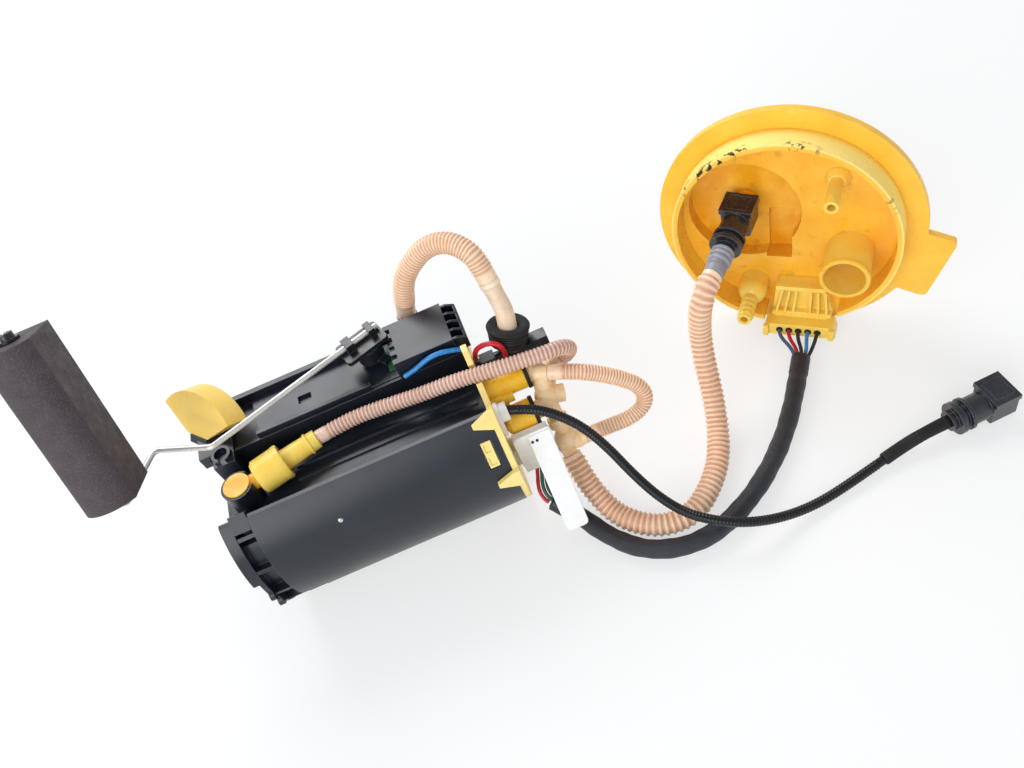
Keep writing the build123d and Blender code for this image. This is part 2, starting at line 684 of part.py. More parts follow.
# ---- base collar --------------------------------------------------------------------------------
BRACKET_X = POT_MOUTH_X - POT_BODY - BRACKET_LENGTH
NECK = POT.offset(-POT_BODY)
BASE_FACE = POT.offset(-POT_BODY - BASE_NECK)
FOOT_PLANE = Plane(origin=FOOT_APEX, x_dir=FOOT_LEVEL, z_dir=FOOT_NORMAL)
HORN_HIGH = (BRACKET_HIGH[0], BRACKET_HIGH[1])
PORT_Z = GROOVE_Z
with BuildPart() as pot_base:
    with BuildSketch(BASE_FACE):
        pot_section(walls=False)
    extrude(amount=-BASE_RING)
    # neck, level with the groove's floor, and the tray's half above it
    with BuildSketch(NECK):
        Circle(BASE_NECK_RADIUS)
        with Locations((0, GROOVE_FLOOR + POT_RADIUS)):
            Rectangle(2 * POT_RADIUS, 2 * POT_RADIUS, mode=Mode.SUBTRACT)
        with Locations((TRAY_MIDDLE, TRAY_FLOOR / 2 - 1)):
            Rectangle(TRAY_FAR - TRAY_NEAR - 4, TRAY_FLOOR - 2)
    extrude(amount=-BASE_NECK)
    # spigot that enters the reservoir
    with BuildSketch(NECK):
        cavity_section(gap=0.2)
    extrude(amount=BASE_PLUG)
    # ribs around the neck
    with BuildSketch(NECK):
        for rib in range(BASE_RIB_COUNT):
            angle = 140 + rib * 260 / (BASE_RIB_COUNT - 1)
            with Locations(Location((0, 0, 0), (0, 0, angle))):
                with Locations((POT_RADIUS - BASE_TAB / 2 - 0.5, 0)):
                    Rectangle(BASE_TAB, BASE_RIB)
    extrude(amount=-BASE_NECK)
    # tab bridging the neck beside the ridge, and the two round lugs below
    tab_x = FOOT_X + BASE_RING + BASE_NECK / 2
    with Locations(around_pot(BASE_TAB_ANGLE, tab_x, POT_RADIUS - BASE_TAB / 2)):
        Box(BASE_NECK, BASE_TAB, BASE_TAB)
    for angle in BASE_LUG_ANGLES:
        lug = around_pot(angle, FOOT_X, POT_RADIUS - 0.5).origin
        rod(lug, lug + Vector(BASE_RING, 0, 0), BASE_LUG_RADIUS)
    block(
        (FOOT_X - 1, POT_AXIS_Y - 2 * POT_RADIUS, -1),
        (FOOT_X + BASE_STEP, POT_AXIS_Y, POT_RADIUS + BASE_STEP_TOP),
        Mode.SUBTRACT,
    )
    # bracket and horn on the tray's side, with the wire's round clip
    with BuildSketch(NECK):
        with Locations(
            ((BRACKET_LOW[0] + BRACKET_HIGH[0]) / 2, (BRACKET_LOW[1] + BRACKET_HIGH[1]) / 2)
        ):
            Rectangle(BRACKET_HIGH[0] - BRACKET_LOW[0], BRACKET_HIGH[1] - BRACKET_LOW[1])
    extrude(amount=-BRACKET_LENGTH)
    with BuildSketch(NECK.offset(-BRACKET_LENGTH)):
        with Locations(((HORN_LOW[0] + HORN_HIGH[0]) / 2, (HORN_LOW[1] + HORN_HIGH[1]) / 2)):
            Rectangle(HORN_HIGH[0] - HORN_LOW[0], HORN_HIGH[1] - HORN_LOW[1])
    extrude(amount=-HORN_LENGTH)
    with BuildSketch(Plane.XY.offset(POT_RADIUS + BRACKET_HIGH[1])):
        with Locations((BRACKET_X + BRACKET_LENGTH / 2, POT_AXIS_Y + BRACKET_LOW[0] + CLIP_RADIUS)):
            Circle(CLIP_RADIUS)
            Circle(CLIP_RADIUS - CLIP_WALL, mode=Mode.SUBTRACT)
            with Locations((0, -CLIP_RADIUS)):
                Rectangle(CLIP_WALL * 2, CLIP_RADIUS, mode=Mode.SUBTRACT)
    extrude(amount=CLIP_HEIGHT)
    # catch in the tank foot's window
    with BuildSketch(FOOT_PLANE.offset(0.4)):
        with Locations(CATCH_AT):
            Rectangle(*CATCH)
    extrude(amount=-HORN_LENGTH)
    # cup for the return valve, its duct, and the inlet holes
    port = Plane(origin=(VALVE_FOOT[0], VALVE_FOOT[1], PORT_Z))
    disc(port, 0, PORT_CUP_HEIGHT, PORT_CUP_RADIUS)
    disc(port, PORT_FLOOR, PORT_CUP_HEIGHT + 1, VALVE_HEAD_RADIUS + RUNNING_GAP, Mode.SUBTRACT)
    with BuildSketch(VALVE.offset(2)):
        with Locations((PORT_CUP_HEIGHT / 2 - VALVE_BRANCH_RADIUS - TOUCH_GAP, 0)):
            Rectangle(PORT_CUP_HEIGHT, 2 * (VALVE_BRANCH_RADIUS + TOUCH_GAP))
    extrude(amount=PORT_CUP_RADIUS, mode=Mode.SUBTRACT)
    duct_x = POT_MOUTH_X - POT_BODY - BASE_NECK / 2
    duct_foot = (duct_x, VALVE_FOOT[1], PORT_Z - DUCT_DROP)
    duct_end = (POT_MOUTH_X - POT_BODY + 2 * BASE_PLUG, VALVE_FOOT[1], PORT_Z - DUCT_DROP)
    rod(duct_foot, (duct_x, VALVE_FOOT[1], PORT_Z + PORT_FLOOR + 1), DUCT_RADIUS, Mode.SUBTRACT)
    rod(duct_foot, duct_end, DUCT_RADIUS, Mode.SUBTRACT)
    with BuildSketch(BASE_FACE.offset(-2 * BASE_RING)):
        with Locations((0, INLET_DROP)):
            Circle(INLET_STEM_RADIUS)
            with PolarLocations(INLET_RING, INLET_HOLES):
                Circle(INLET_HOLE_RADIUS)
    extrude(amount=BASE_NECK + 3 * BASE_RING, mode=Mode.SUBTRACT)
keep(pot_base, "pot_base")

with BuildPart() as inlet_valve:
    seat = NECK.offset(BASE_PLUG)
    centre = Plane(origin=at_pot((0, INLET_DROP), seat.origin.X), z_dir=(1, 0, 0))
    disc(centre, 0, INLET_VALVE, INLET_VALVE_RADIUS, tip=INLET_VALVE_RADIUS - 1.5)
    disc(centre, -BASE_PLUG - BASE_NECK, INLET_VALVE, INLET_STEM_RADIUS - RUNNING_GAP)
keep(inlet_valve, "inlet_valve")

# ---- tank foot ----------------------------------------------------------------------------------
with BuildPart() as tank_foot:
    for radius, depth, inset, mode in (
        (FOOT_RADIUS, FOOT_THICKNESS, 0.0, Mode.ADD),
        (FOOT_RADIUS - FOOT_SHELL, FOOT_THICKNESS, FOOT_SHELL, Mode.SUBTRACT),
    ):
        apex = Vector(0, inset / sin(radians((FOOT_TO - FOOT_FROM) / 2)), 0)
        with BuildSketch(FOOT_PLANE.offset(-inset)):
            with BuildLine():
                reach = radius - apex.Y
                fan = [
                    (reach * cos(radians(angle)), apex.Y + reach * sin(radians(angle)))
                    for angle in (FOOT_FROM, (FOOT_FROM + FOOT_TO) / 2, FOOT_TO)
                ]
                ThreePointArc(*fan)
                Polyline(fan[2], (apex.X, apex.Y), fan[0])
            make_face()
        extrude(amount=-depth, mode=mode)
    with BuildSketch(FOOT_PLANE.offset(1)):
        with Locations(FOOT_WINDOW_AT):
            Rectangle(*FOOT_WINDOW)
    extrude(amount=-FOOT_THICKNESS, mode=Mode.SUBTRACT)
    # cut level, to stand on the base's shoulder and around its bracket
    block((-200, -60, 0), (-100, 80, TRAY_TOP + TOUCH_GAP), Mode.SUBTRACT)
    block(
        at_pot((BRACKET_LOW[0] - 2, BRACKET_LOW[1]), BRACKET_X - TOUCH_GAP),
        at_pot((BRACKET_HIGH[0] + TOUCH_GAP, BRACKET_HIGH[1] + TOUCH_GAP), POT_MOUTH_X),
        Mode.SUBTRACT,
    )
    block(
        at_pot((HORN_LOW[0] - TOUCH_GAP, 0), BRACKET_X - HORN_LENGTH - TOUCH_GAP),
        at_pot((HORN_HIGH[0] + TOUCH_GAP, HORN_HIGH[1] + TOUCH_GAP), POT_MOUTH_X - POT_BODY),
        Mode.SUBTRACT,
    )
keep(tank_foot, "tank_foot")

# ---- top plate ----------------------------------------------------------------------------------
PLATE_RADIUS = POT_RADIUS - 0.2
with BuildPart() as top_plate:
    with BuildSketch(POT):
        with BuildLine():
            rim = Polyline(
                (RIDGE_Y, sqrt(PLATE_RADIUS**2 - RIDGE_Y**2)),
                *FIN_OUTLINE,
                (FIN_OUTLINE[-1][0], PLATE_TRAY_TOP),
                (TRAY_FAR, PLATE_TRAY_TOP),
                (TRAY_FAR, sqrt(PLATE_RADIUS**2 - TRAY_FAR**2)),
            )
            ThreePointArc(rim @ 1, (0, -PLATE_RADIUS), rim @ 0)
        make_face()
        with Locations(HOSE_REST):
            Circle(HOSE_REST_RADIUS, mode=Mode.SUBTRACT)
    extrude(amount=PLATE)
    with BuildSketch(POT):
        cavity_section(gap=0.15)
    extrude(amount=-PLATE_STEP)
    # prongs along the reservoir's skin, and the snap that fills its window
    for angle in PRONG_ANGLES:
        skin = around_pot(angle, POT_MOUTH_X, POT_RADIUS + PRONG_RADIUS / 2 + TOUCH_GAP)
        with BuildSketch(skin.offset(-PRONG_RADIUS / 2)):
            Polygon(
                (PLATE, -2 * PRONG_RADIUS),
                (PLATE, 2 * PRONG_RADIUS),
                (0, 2 * PRONG_RADIUS),
                (-PRONG_LENGTH, PRONG_RADIUS / 2),
                (-PRONG_LENGTH, -PRONG_RADIUS / 2),
                (0, -2 * PRONG_RADIUS),
                align=None,
            )
        extrude(amount=PRONG_RADIUS)
        with Locations(skin * Pos(PLATE / 2, 0, -PRONG_RADIUS)):
            Box(PLATE, 4 * PRONG_RADIUS, PRONG_RADIUS * 2)
    snap = around_pot(SNAP_ANGLE, POT_MOUTH_X - SNAP_TAB[0] / 2, SNAP_RADIUS)
    with Locations(snap):
        Box(SNAP_TAB[0], SNAP_TAB[1], SNAP_TAB[2])
    with Locations(snap * Pos(-1, 0, SNAP_TAB[2])):
        Box(SNAP_WINDOW[0] - 1, SNAP_TAB[1] + 1.5, SNAP_TAB[2])
    with Locations(*[snap * Pos(-1, side * 3.5, 2 * SNAP_TAB[2] - 1) for side in (-1, 1)]):
        Box(SNAP_WINDOW[0] - 3, 4.5, 1.2, mode=Mode.SUBTRACT)
    duct = at_pot(PLATE_DUCT_AT, POT_MOUTH_X - 2 * PLATE)
    rod(duct, at_pot(PLATE_DUCT_AT, PLATE_FACE + 1), DUCT_RADIUS, Mode.SUBTRACT)
keep(top_plate, "top_plate")

# ---- level sender -------------------------------------------------------------------------------
SENDER_Z = TRAY_TOP + SENDER_PLATE
RAIL_X = PIVOT_X - 5
with BuildPart() as sender_bracket:
    near = POT_AXIS_Y + TRAY_NEAR + TRAY_LIP + TOUCH_GAP
    far = POT_AXIS_Y + TRAY_FAR - TOUCH_GAP
    start = HOUSING_END_X - 1 - SENDER_PLATE_LENGTH
    block((start, near, TRAY_TOP), (HOUSING_END_X - 1, far, SENDER_Z))
    block((start, near, TRAY_TOP), (RAIL_X, near + SENDER_RAIL, SENDER_Z + SENDER_RAIL))
    with Locations((POCKET_X, POT_AXIS_Y + 23, SENDER_Z)):
        Box(POCKET_SIZE[0], POCKET_SIZE[1], 3 * SENDER_PLATE, mode=Mode.SUBTRACT)
    rod((PIVOT_X, PIVOT_Y, TRAY_TOP), (PIVOT_X, PIVOT_Y, HUB_LOW + 7.5), PIVOT_RADIUS)
keep(sender_bracket, "sender_bracket")

HOUSING_START = HOUSING_END_X - HOUSING_LENGTH
HOUSING_NEAR = -6.0
HOUSING_FAR = 21.0
HOUSING_TOP = SENDER_Z + HOUSING_HEIGHT
with BuildPart() as sender_housing:
    block((HOUSING_START, HOUSING_NEAR, SENDER_Z), (HOUSING_END_X, HOUSING_FAR, HOUSING_TOP))
    block(
        (HOUSING_START - 1, HOUSING_NEAR + HOUSING_WALL, SENDER_Z - 1),
        (HOUSING_END_X - HOUSING_WALL, HOUSING_FAR - HOUSING_WALL, HOUSING_TOP - HOUSING_WALL),
        Mode.SUBTRACT,
    )
    # teeth along the open edge of the roof
    pitch = (HOUSING_FAR - HOUSING_NEAR) / (2 * HOUSING_TEETH + 1)
    for tooth in range(HOUSING_TEETH):
        slot = HOUSING_NEAR + (2 * tooth + 1) * pitch
        block(
            (HOUSING_START - 1, slot, HOUSING_TOP - 2 * HOUSING_WALL),
            (HOUSING_START + HOUSING_TOOTH, slot + pitch, HOUSING_TOP + 1),
            Mode.SUBTRACT,
        )
    # ribbed end
    end_high = HOUSING_TOP - 1
    wall_x = HOUSING_END_X + END_BLOCK
    block((HOUSING_END_X, HOUSING_NEAR + 1, SENDER_Z), (wall_x, HOUSING_FAR - 1, SENDER_Z + 2))
    block((wall_x - 1.4, HOUSING_NEAR + 1, SENDER_Z), (wall_x, HOUSING_FAR - 1, end_high - 2))
    for fin in range(END_FINS + 1):
        side = HOUSING_NEAR + 1 + fin * (HOUSING_FAR - HOUSING_NEAR - 3.4) / END_FINS
        block((HOUSING_END_X, side, SENDER_Z), (wall_x, side + 1.4, end_high))
    with BuildSketch(Plane.XZ):
        Polygon(
            (HOUSING_END_X + 2, end_high + 0.1),
            (wall_x + 1, end_high + 0.1),
            (wall_x + 1, end_high - 3),
            align=None,
        )
    extrude(amount=2 * POT_RADIUS, both=True, mode=Mode.SUBTRACT)
keep(sender_housing, "sender_housing")

with BuildPart() as sender_card:
    with BuildSketch(Plane.XY.offset(SENDER_Z)):
        with Locations(CARD_AT):
            Rectangle(CARD_SIZE[0], CARD_SIZE[1])
        with Locations((PIVOT_X, PIVOT_Y)):
            Circle(5.5, mode=Mode.SUBTRACT)
    extrude(amount=CARD_SIZE[2])
keep(sender_card, "sender_card")

# The rotor's own x runs along the wire.
WIRE_START = (-61.4, 18.7, ARM_LEVEL)
WIRE_KNEE = (-153.0, -13.6, ARM_LEVEL)
ALONG_WIRE = heading(WIRE_START, WIRE_KNEE)
HUB_TOP = HUB_LOW + 8
ROTOR = Plane(origin=(PIVOT_X, PIVOT_Y, HUB_TOP), x_dir=ALONG_WIRE, z_dir=(0, 0, 1))
with BuildPart() as sender_rotor:
    wire_y = ROTOR.to_local_coords(Vector(*WIRE_START)).Y
    disc(ROTOR, -8, 0, HUB_RADIUS)
    with BuildSketch(ROTOR):
        with Locations((1, wire_y / 2)):
            RectangleRounded(ROTOR_PLATE[0], ROTOR_PLATE[1], 2)
    extrude(amount=ROTOR_PLATE[2])
    # clips that hold the wire
    for x, width in ((-6, 3.5), (7, 4.5)):
        with BuildSketch(ROTOR.offset(ROTOR_PLATE[2])):
            with Locations((x, wire_y)):
                Rectangle(width, ARM_WIRE + 4)
        extrude(amount=ARM_WIRE + 1.6)
    wire_low = ROTOR.from_local_coords(Vector(-2 * HUB_RADIUS, wire_y, ARM_LEVEL - HUB_TOP))
    wire_high = ROTOR.from_local_coords(Vector(2 * HUB_RADIUS, wire_y, ARM_LEVEL - HUB_TOP))
    rod(wire_low, wire_high, ARM_WIRE / 2, Mode.SUBTRACT)
    # wiper arm and its two fingers, over the card
    with BuildSketch(Plane.XY.offset(HUB_LOW)):
        with Locations(Location((PIVOT_X, PIVOT_Y, 0), (0, 0, WIPER_TURN))):
            with Locations((WIPER_REACH / 2, 0)):
                Rectangle(WIPER_REACH, 5)
    extrude(amount=1.5)
    with BuildSketch(Plane.XY.offset(SENDER_Z + CARD_SIZE[2] + TOUCH_GAP)):
        with Locations(Location((PIVOT_X, PIVOT_Y, 0), (0, 0, WIPER_TURN))):
            with Locations((WIPER_REACH - 1, -1.5), (WIPER_REACH - 1, 1.5)):
                Rectangle(1.5, 1)
    extrude(amount=HUB_LOW - SENDER_Z - CARD_SIZE[2])
    disc(ROTOR, -9, -0.4, PIVOT_RADIUS + RUNNING_GAP, Mode.SUBTRACT)
keep(sender_rotor, "sender_rotor")

with BuildPart() as float_arm:
    wire_foot = FLOAT.offset(-WIRE_DROP).origin
    wire_tip = FLOAT.offset(FLOAT_LENGTH + FLOAT_LIFT).origin
    wire_route = [WIRE_START, WIRE_KNEE, (-181.6, -1.2, 104.2), tuple(wire_foot), tuple(wire_tip)]
    with BuildLine():
        wire_path = FilletPolyline(*wire_route, radius=ARM_BEND)
    with BuildSketch(Plane(origin=wire_path @ 0, z_dir=wire_path % 0)):
        Circle(ARM_WIRE / 2)
    sweep()
keep(float_arm, "float_arm")

FLOAT_BORE = ARM_WIRE / 2 + RUNNING_GAP
with BuildPart() as float_body:
    with BuildSketch(FLOAT):
        with BuildLine():
            back = Polyline(
                (FLOAT_DEPTH / 2 - FLOAT_CROWN, FLOAT_WIDTH / 2),
                (-FLOAT_DEPTH / 2, FLOAT_WIDTH / 2),
                (-FLOAT_DEPTH / 2, -FLOAT_WIDTH / 2),
                (FLOAT_DEPTH / 2 - FLOAT_CROWN - FLOAT_STEP, -FLOAT_WIDTH / 2),
                (FLOAT_DEPTH / 2 - FLOAT_CROWN - FLOAT_STEP, -FLOAT_WIDTH / 2 + 1),
                (FLOAT_DEPTH / 2 - FLOAT_CROWN, -FLOAT_WIDTH / 2 + 1),
            )
            ThreePointArc(back @ 1, (FLOAT_DEPTH / 2, 0), back @ 0)
        make_face()
    extrude(amount=FLOAT_LENGTH)
    disc(FLOAT, -1, FLOAT_LENGTH + 1, FLOAT_BORE, Mode.SUBTRACT)
keep(float_body, "float")

with BuildPart() as float_clip:
    disc(FLOAT, FLOAT_LENGTH + TOUCH_GAP, FLOAT_LENGTH + TOUCH_GAP + 1.2, CLIP_WASHER)
    disc(FLOAT, FLOAT_LENGTH + TOUCH_GAP, FLOAT_LENGTH + FLOAT_LIFT - 0.5, ARM_WIRE)
    disc(FLOAT, FLOAT_LENGTH, FLOAT_LENGTH + 2 * FLOAT_LIFT, ARM_WIRE / 2, Mode.SUBTRACT)
keep(float_clip, "float_clip")

# ---- return valve -------------------------------------------------------------------------------
with BuildPart() as valve_elbow:
    head = Plane(origin=(VALVE_FOOT[0], VALVE_FOOT[1], PORT_Z + PORT_FLOOR))
    head_height = VALVE_FOOT[2] + VALVE_HEAD_TOP - PORT_Z - PORT_FLOOR
    disc(head, 0, head_height, VALVE_HEAD_RADIUS)
    disc(VALVE, 0, VALVE_BODY_START, VALVE_BRANCH_RADIUS)
    disc(head, -1, VALVE_FOOT[2] - head.origin.Z, VALVE_BORE, Mode.SUBTRACT)
    disc(VALVE, 0, VALVE_BODY_START + 1, VALVE_BORE, Mode.SUBTRACT)
keep(valve_elbow, "valve_elbow")

CHAMBER_END = VALVE_CHAMBER_START + VALVE_CHAMBER
VALVE_BODY_END = VALVE_BODY_START + VALVE_BODY
with BuildPart() as check_valve:
    disc(VALVE, VALVE_BODY_START, VALVE_BODY_START + 1.5, VALVE_BODY_RADIUS - 1.5, tip=VALVE_BODY_RADIUS)
    disc(VALVE, VALVE_BODY_START + 1.5, VALVE_BODY_END, VALVE_BODY_RADIUS)
    disc(VALVE, VALVE_BODY_END - VALVE_DISH[2], VALVE_BODY_END + 1, VALVE_DISH[1], Mode.SUBTRACT)
    disc(VALVE, VALVE_BODY_END - VALVE_DISH[2], VALVE_END, VALVE_DISH[0], tip=VALVE_TAIL_RADIUS)
    disc(VALVE, VALVE_BODY_START - 1, VALVE_END + 1, VALVE_BORE, Mode.SUBTRACT)
    disc(VALVE, VALVE_CHAMBER_START, CHAMBER_END, VALVE_CHAMBER_RADIUS, Mode.SUBTRACT)
    rod(JET_ROUTE[0], JET_ROUTE[1], JET_HOSE / 2, Mode.SUBTRACT)
keep(check_valve, "check_valve")

POPPET_START = VALVE_CHAMBER_START + TOUCH_GAP
with BuildPart() as check_poppet:
    disc(VALVE, POPPET_START, POPPET_START + POPPET, VALVE_CHAMBER_RADIUS - RUNNING_GAP)
    disc(VALVE, POPPET_START, POPPET_START + POPPET + SPRING_LENGTH, POPPET_STEM_RADIUS)
keep(check_poppet, "check_poppet")

with BuildPart() as check_spring:
    coil = VALVE.offset(POPPET_START + POPPET + SPRING_WIRE / 2)
    turns_height = SPRING_LENGTH - SPRING_WIRE
    with BuildLine():
        turns = Helix(
            SPRING_PITCH,
            turns_height,
            SPRING_RADIUS,
            center=coil.origin,
            direction=coil.z_dir,
        )
    with BuildSketch(Plane(origin=turns @ 0, z_dir=turns % 0)):
        Circle(SPRING_WIRE / 2)
    sweep()
keep(check_spring, "check_spring")

# ---- fittings outside the mouth -----------------------------------------------------------------
FEED_FOOT = FEED_ROUTE[0]
with BuildPart() as feed_elbow:
    wall_y = POT_AXIS_Y + TRAY_BACK
    corner = (FEED_FOOT[0], FEED_FOOT[1], TRAY_TOP - ELBOW_DROP)
    rod((corner[0], wall_y, corner[2]), (corner[0], wall_y + 2, corner[2]), ELBOW_FLANGE_RADIUS)
    rod((corner[0], wall_y, corner[2]), corner, FITTING_PIPE)
    ball(corner, FITTING_PIPE)
    rod(corner, FEED_FOOT, FITTING_PIPE)
    rod((corner[0], corner[1], FEED_FOOT[2] - 2.5), FEED_FOOT, FEED_HOSE / 2)
    rod(FEED_ROUTE[0], FEED_ROUTE[1], FEED_HOSE / 2, Mode.SUBTRACT)
keep(feed_elbow, "feed_elbow")

with BuildPart() as outlet_body:
    rod((PLATE_FACE, *OUTLET_BODY_AT), (OUTLET_BODY_END, *OUTLET_BODY_AT), OUTLET_BODY_RADIUS)
    duct = at_pot(PLATE_DUCT_AT, PLATE_FACE)
    block(
        (PLATE_FACE, duct[1] - 5, duct[2] - 5),
        (PLATE_FACE + 8, duct[1] + 5, OUTLET_BODY_AT[1]),
    )
    rod(*OUTLET_BOSS)
    rod(*OUTLET_STUB)
    middle = (PLATE_FACE + 4, OUTLET_BODY_AT[0], OUTLET_BODY_AT[1])
    rod((duct[0] - 1, duct[1], duct[2]), (PLATE_FACE + 4, duct[1], duct[2]), DUCT_RADIUS, Mode.SUBTRACT)
    rod((PLATE_FACE + 4, duct[1], duct[2]), middle, DUCT_RADIUS, Mode.SUBTRACT)
    rod(middle, (OUTLET_BODY_END + 1, *OUTLET_BODY_AT), DUCT_RADIUS, Mode.SUBTRACT)
    rod(JUMPER_ROUTE[-2], JUMPER_ROUTE[-1], JUMPER_WIRE / 2, Mode.SUBTRACT)
keep(outlet_body, "outlet_body")

with BuildPart() as regulator:
    neck_radius, neck = REGULATOR_NECK
    neck_end = (PLATE_FACE + neck, *REGULATOR_AT)
    shoulder = (PLATE_FACE + neck + 2, *REGULATOR_AT)
    rod((PLATE_FACE, *REGULATOR_AT), neck_end, neck_radius)
    rod(neck_end, shoulder, REGULATOR_RADIUS - 2, tip=REGULATOR_RADIUS)
    rod(shoulder, (REGULATOR_END, *REGULATOR_AT), REGULATOR_RADIUS)
keep(regulator, "regulator")

LINK_START_DIR = heading(LINK_ROUTE[0], LINK_ROUTE[1])
LINK_END_DIR = heading(LINK_ROUTE[-2], LINK_ROUTE[-1])
JET_END_DIR = heading(JET_ROUTE[-2], JET_ROUTE[-1])
RETURN_START_DIR = heading(RETURN_ROUTE[0], RETURN_ROUTE[1])
SPLICE_POINT = Vector(*FITTING_CENTRE) + (Vector(*TEE_CENTRE) - Vector(*FITTING_CENTRE)) * SPLICE
with BuildPart() as y_fitting:
    ball(FITTING_CENTRE, FITTING_BALL)
    rod(FITTING_CENTRE, FITTING_NUB, FITTING_PIPE)
    for foot in ((OUTLET_BODY_END, *OUTLET_BODY_AT), (REGULATOR_END, *REGULATOR_AT)):
        knuckle = (foot[0] + NIPPLE_LENGTH, foot[1], foot[2])
        rod(foot, knuckle, FITTING_PIPE)
        ball(knuckle, FITTING_PIPE)
        rod(knuckle, FITTING_CENTRE, FITTING_PIPE)
    for tip, outward in ((LINK_ROUTE[0], LINK_START_DIR), (JET_ROUTE[-1], JET_END_DIR * -1)):
        knuckle = Vector(*tip) - outward * NIPPLE_LENGTH
        rod(knuckle, tip, NIPPLE_RADIUS)
        ball(knuckle, NIPPLE_BALL)
        rod(knuckle, FITTING_CENTRE, NIPPLE_RADIUS)
    rod(FITTING_CENTRE, SPLICE_POINT, NIPPLE_RADIUS)
keep(y_fitting, "y_fitting")

with BuildPart() as t_fitting:
    down = heading(FITTING_CENTRE, TEE_CENTRE)
    rod(SPLICE_POINT, SPLICE_POINT + down * NIPPLE_LENGTH, SPLICE_RADIUS)
    rod(SPLICE_POINT, TEE_CENTRE, NIPPLE_RADIUS)
    ball(TEE_CENTRE, FITTING_BALL)
    for tip, outward in ((LINK_ROUTE[-1], LINK_END_DIR * -1), (RETURN_ROUTE[0], RETURN_START_DIR)):
        knuckle = Vector(*tip) - outward * NIPPLE_LENGTH
        rod(knuckle, tip, NIPPLE_RADIUS)
        ball(knuckle, NIPPLE_BALL)
        rod(knuckle, TEE_CENTRE, NIPPLE_RADIUS)
keep(t_fitting, "t_fitting")

with BuildPart() as line_collar:
    rod((PLATE_FACE, *COLLAR_AT), (PLATE_FACE + COLLAR_LENGTH, *COLLAR_AT), COLLAR_RADIUS)
    rod((PLATE_FACE, *COLLAR_AT), (PLATE_FACE + 2, *COLLAR_AT), COLLAR_RADIUS + 1.2)
    block(*COLLAR_FLANGE)
    rod(AUX_ROUTE[0], AUX_ROUTE[1], AUX_LINE / 2, Mode.SUBTRACT)
keep(line_collar, "line_collar")

with BuildPart() as plate_connector:
    block((BLOCK_START, BLOCK_NEAR_Y, BLOCK_LOW), (BLOCK_END, BLOCK_NEAR_Y + BLOCK_FACE, BLOCK_TOP))
    block((BLOCK_START, BLOCK_NEAR_Y, BLOCK_LOW), (BLOCK_END, BLOCK_NEAR_Y + BLOCK_DEPTH, BLOCK_STEP))
    block(
        (PLATE_FACE, BLOCK_NEAR_Y + BLOCK_FACE, BLOCK_LOW + 4),
        (BLOCK_START, BLOCK_NEAR_Y + BLOCK_FACE + BLOCK_TONGUE, BLOCK_STEP - 2),
    )
    # mouth for the leads, and two small holes near the top edge
    block(
        (BLOCK_START + 4, BLOCK_NEAR_Y + 2, BLOCK_LOW - 1),
        (BLOCK_END - 4, BLOCK_NEAR_Y + BLOCK_DEPTH - 2, BLOCK_LOW + 8),
        Mode.SUBTRACT,
    )
    for hole_x in (BLOCK_END - 8.5, BLOCK_END - 5.0):
        hole_foot = Vector(hole_x, BLOCK_NEAR_Y - 1, BLOCK_TOP - 4)
        rod(hole_foot, hole_foot + Vector(0, BLOCK_FACE, 0), BLOCK_HOLE_RADIUS, Mode.SUBTRACT)
keep(plate_connector, "plate_connector")

with BuildPart() as connector_strap:
    top = Vector(STRAP_X, *STRAP_TOP)
    foot = Vector(STRAP_X, *STRAP_FOOT)
    strap_dir = heading(top, foot)
    with BuildSketch(Plane(origin=top, x_dir=(1, 0, 0), z_dir=strap_dir)):
        Rectangle(STRAP_WIDTH, STRAP_THICKNESS)
    extrude(amount=(foot - top).length)
    block(
        (STRAP_X - STRAP_WIDTH / 2, BLOCK_NEAR_Y - STRAP_THICKNESS, STRAP_TOP[1] - 8),
        (STRAP_X + STRAP_WIDTH / 2, BLOCK_NEAR_Y, STRAP_TOP[1]),
    )
    rod(
        (STRAP_X - STRAP_WIDTH / 2, BLOCK_NEAR_Y - 1.4, STRAP_TOP[1]),
        (STRAP_X + STRAP_WIDTH / 2, BLOCK_NEAR_Y - 1.4, STRAP_TOP[1]),
        1.4,
    )
keep(connector_strap, "connector_strap")

CUP = Plane(origin=(TOWER_X, *TOWER_AT), z_dir=CUP_LEAN)
CUP_MOUTH = CUP.offset(CUP_HEIGHT)
with BuildPart() as top_connector:
    rod((PLATE_FACE, *TOWER_AT), (TOWER_END - TOWER_PLUG_FLOOR, *TOWER_AT), TOWER_PIPE_RADIUS)
    disc(CUP, 0, CUP_FLARE[0], TOWER_KNUCKLE)
    disc(CUP, *CUP_FLARE, TOWER_KNUCKLE, tip=CUP_RADIUS)
    disc(CUP, CUP_FLARE[1], CUP_HEIGHT, CUP_RADIUS)
    disc(CUP, CUP_HEIGHT - CUP_DEPTH, CUP_HEIGHT + 1, CUP_BORE, Mode.SUBTRACT)
keep(top_connector, "top_connector")

with BuildPart() as top_connector_nut:
    nut_radius, nut_length, nut_start = TOWER_NUT
    with BuildSketch(Plane.YZ.offset(PLATE_FACE + nut_start)):
        with Locations(TOWER_AT):
            RegularPolygon(nut_radius, 6)
            Circle(TOWER_PIPE_RADIUS, mode=Mode.SUBTRACT)
    extrude(amount=nut_length)
keep(top_connector_nut, "top_connector_nut")

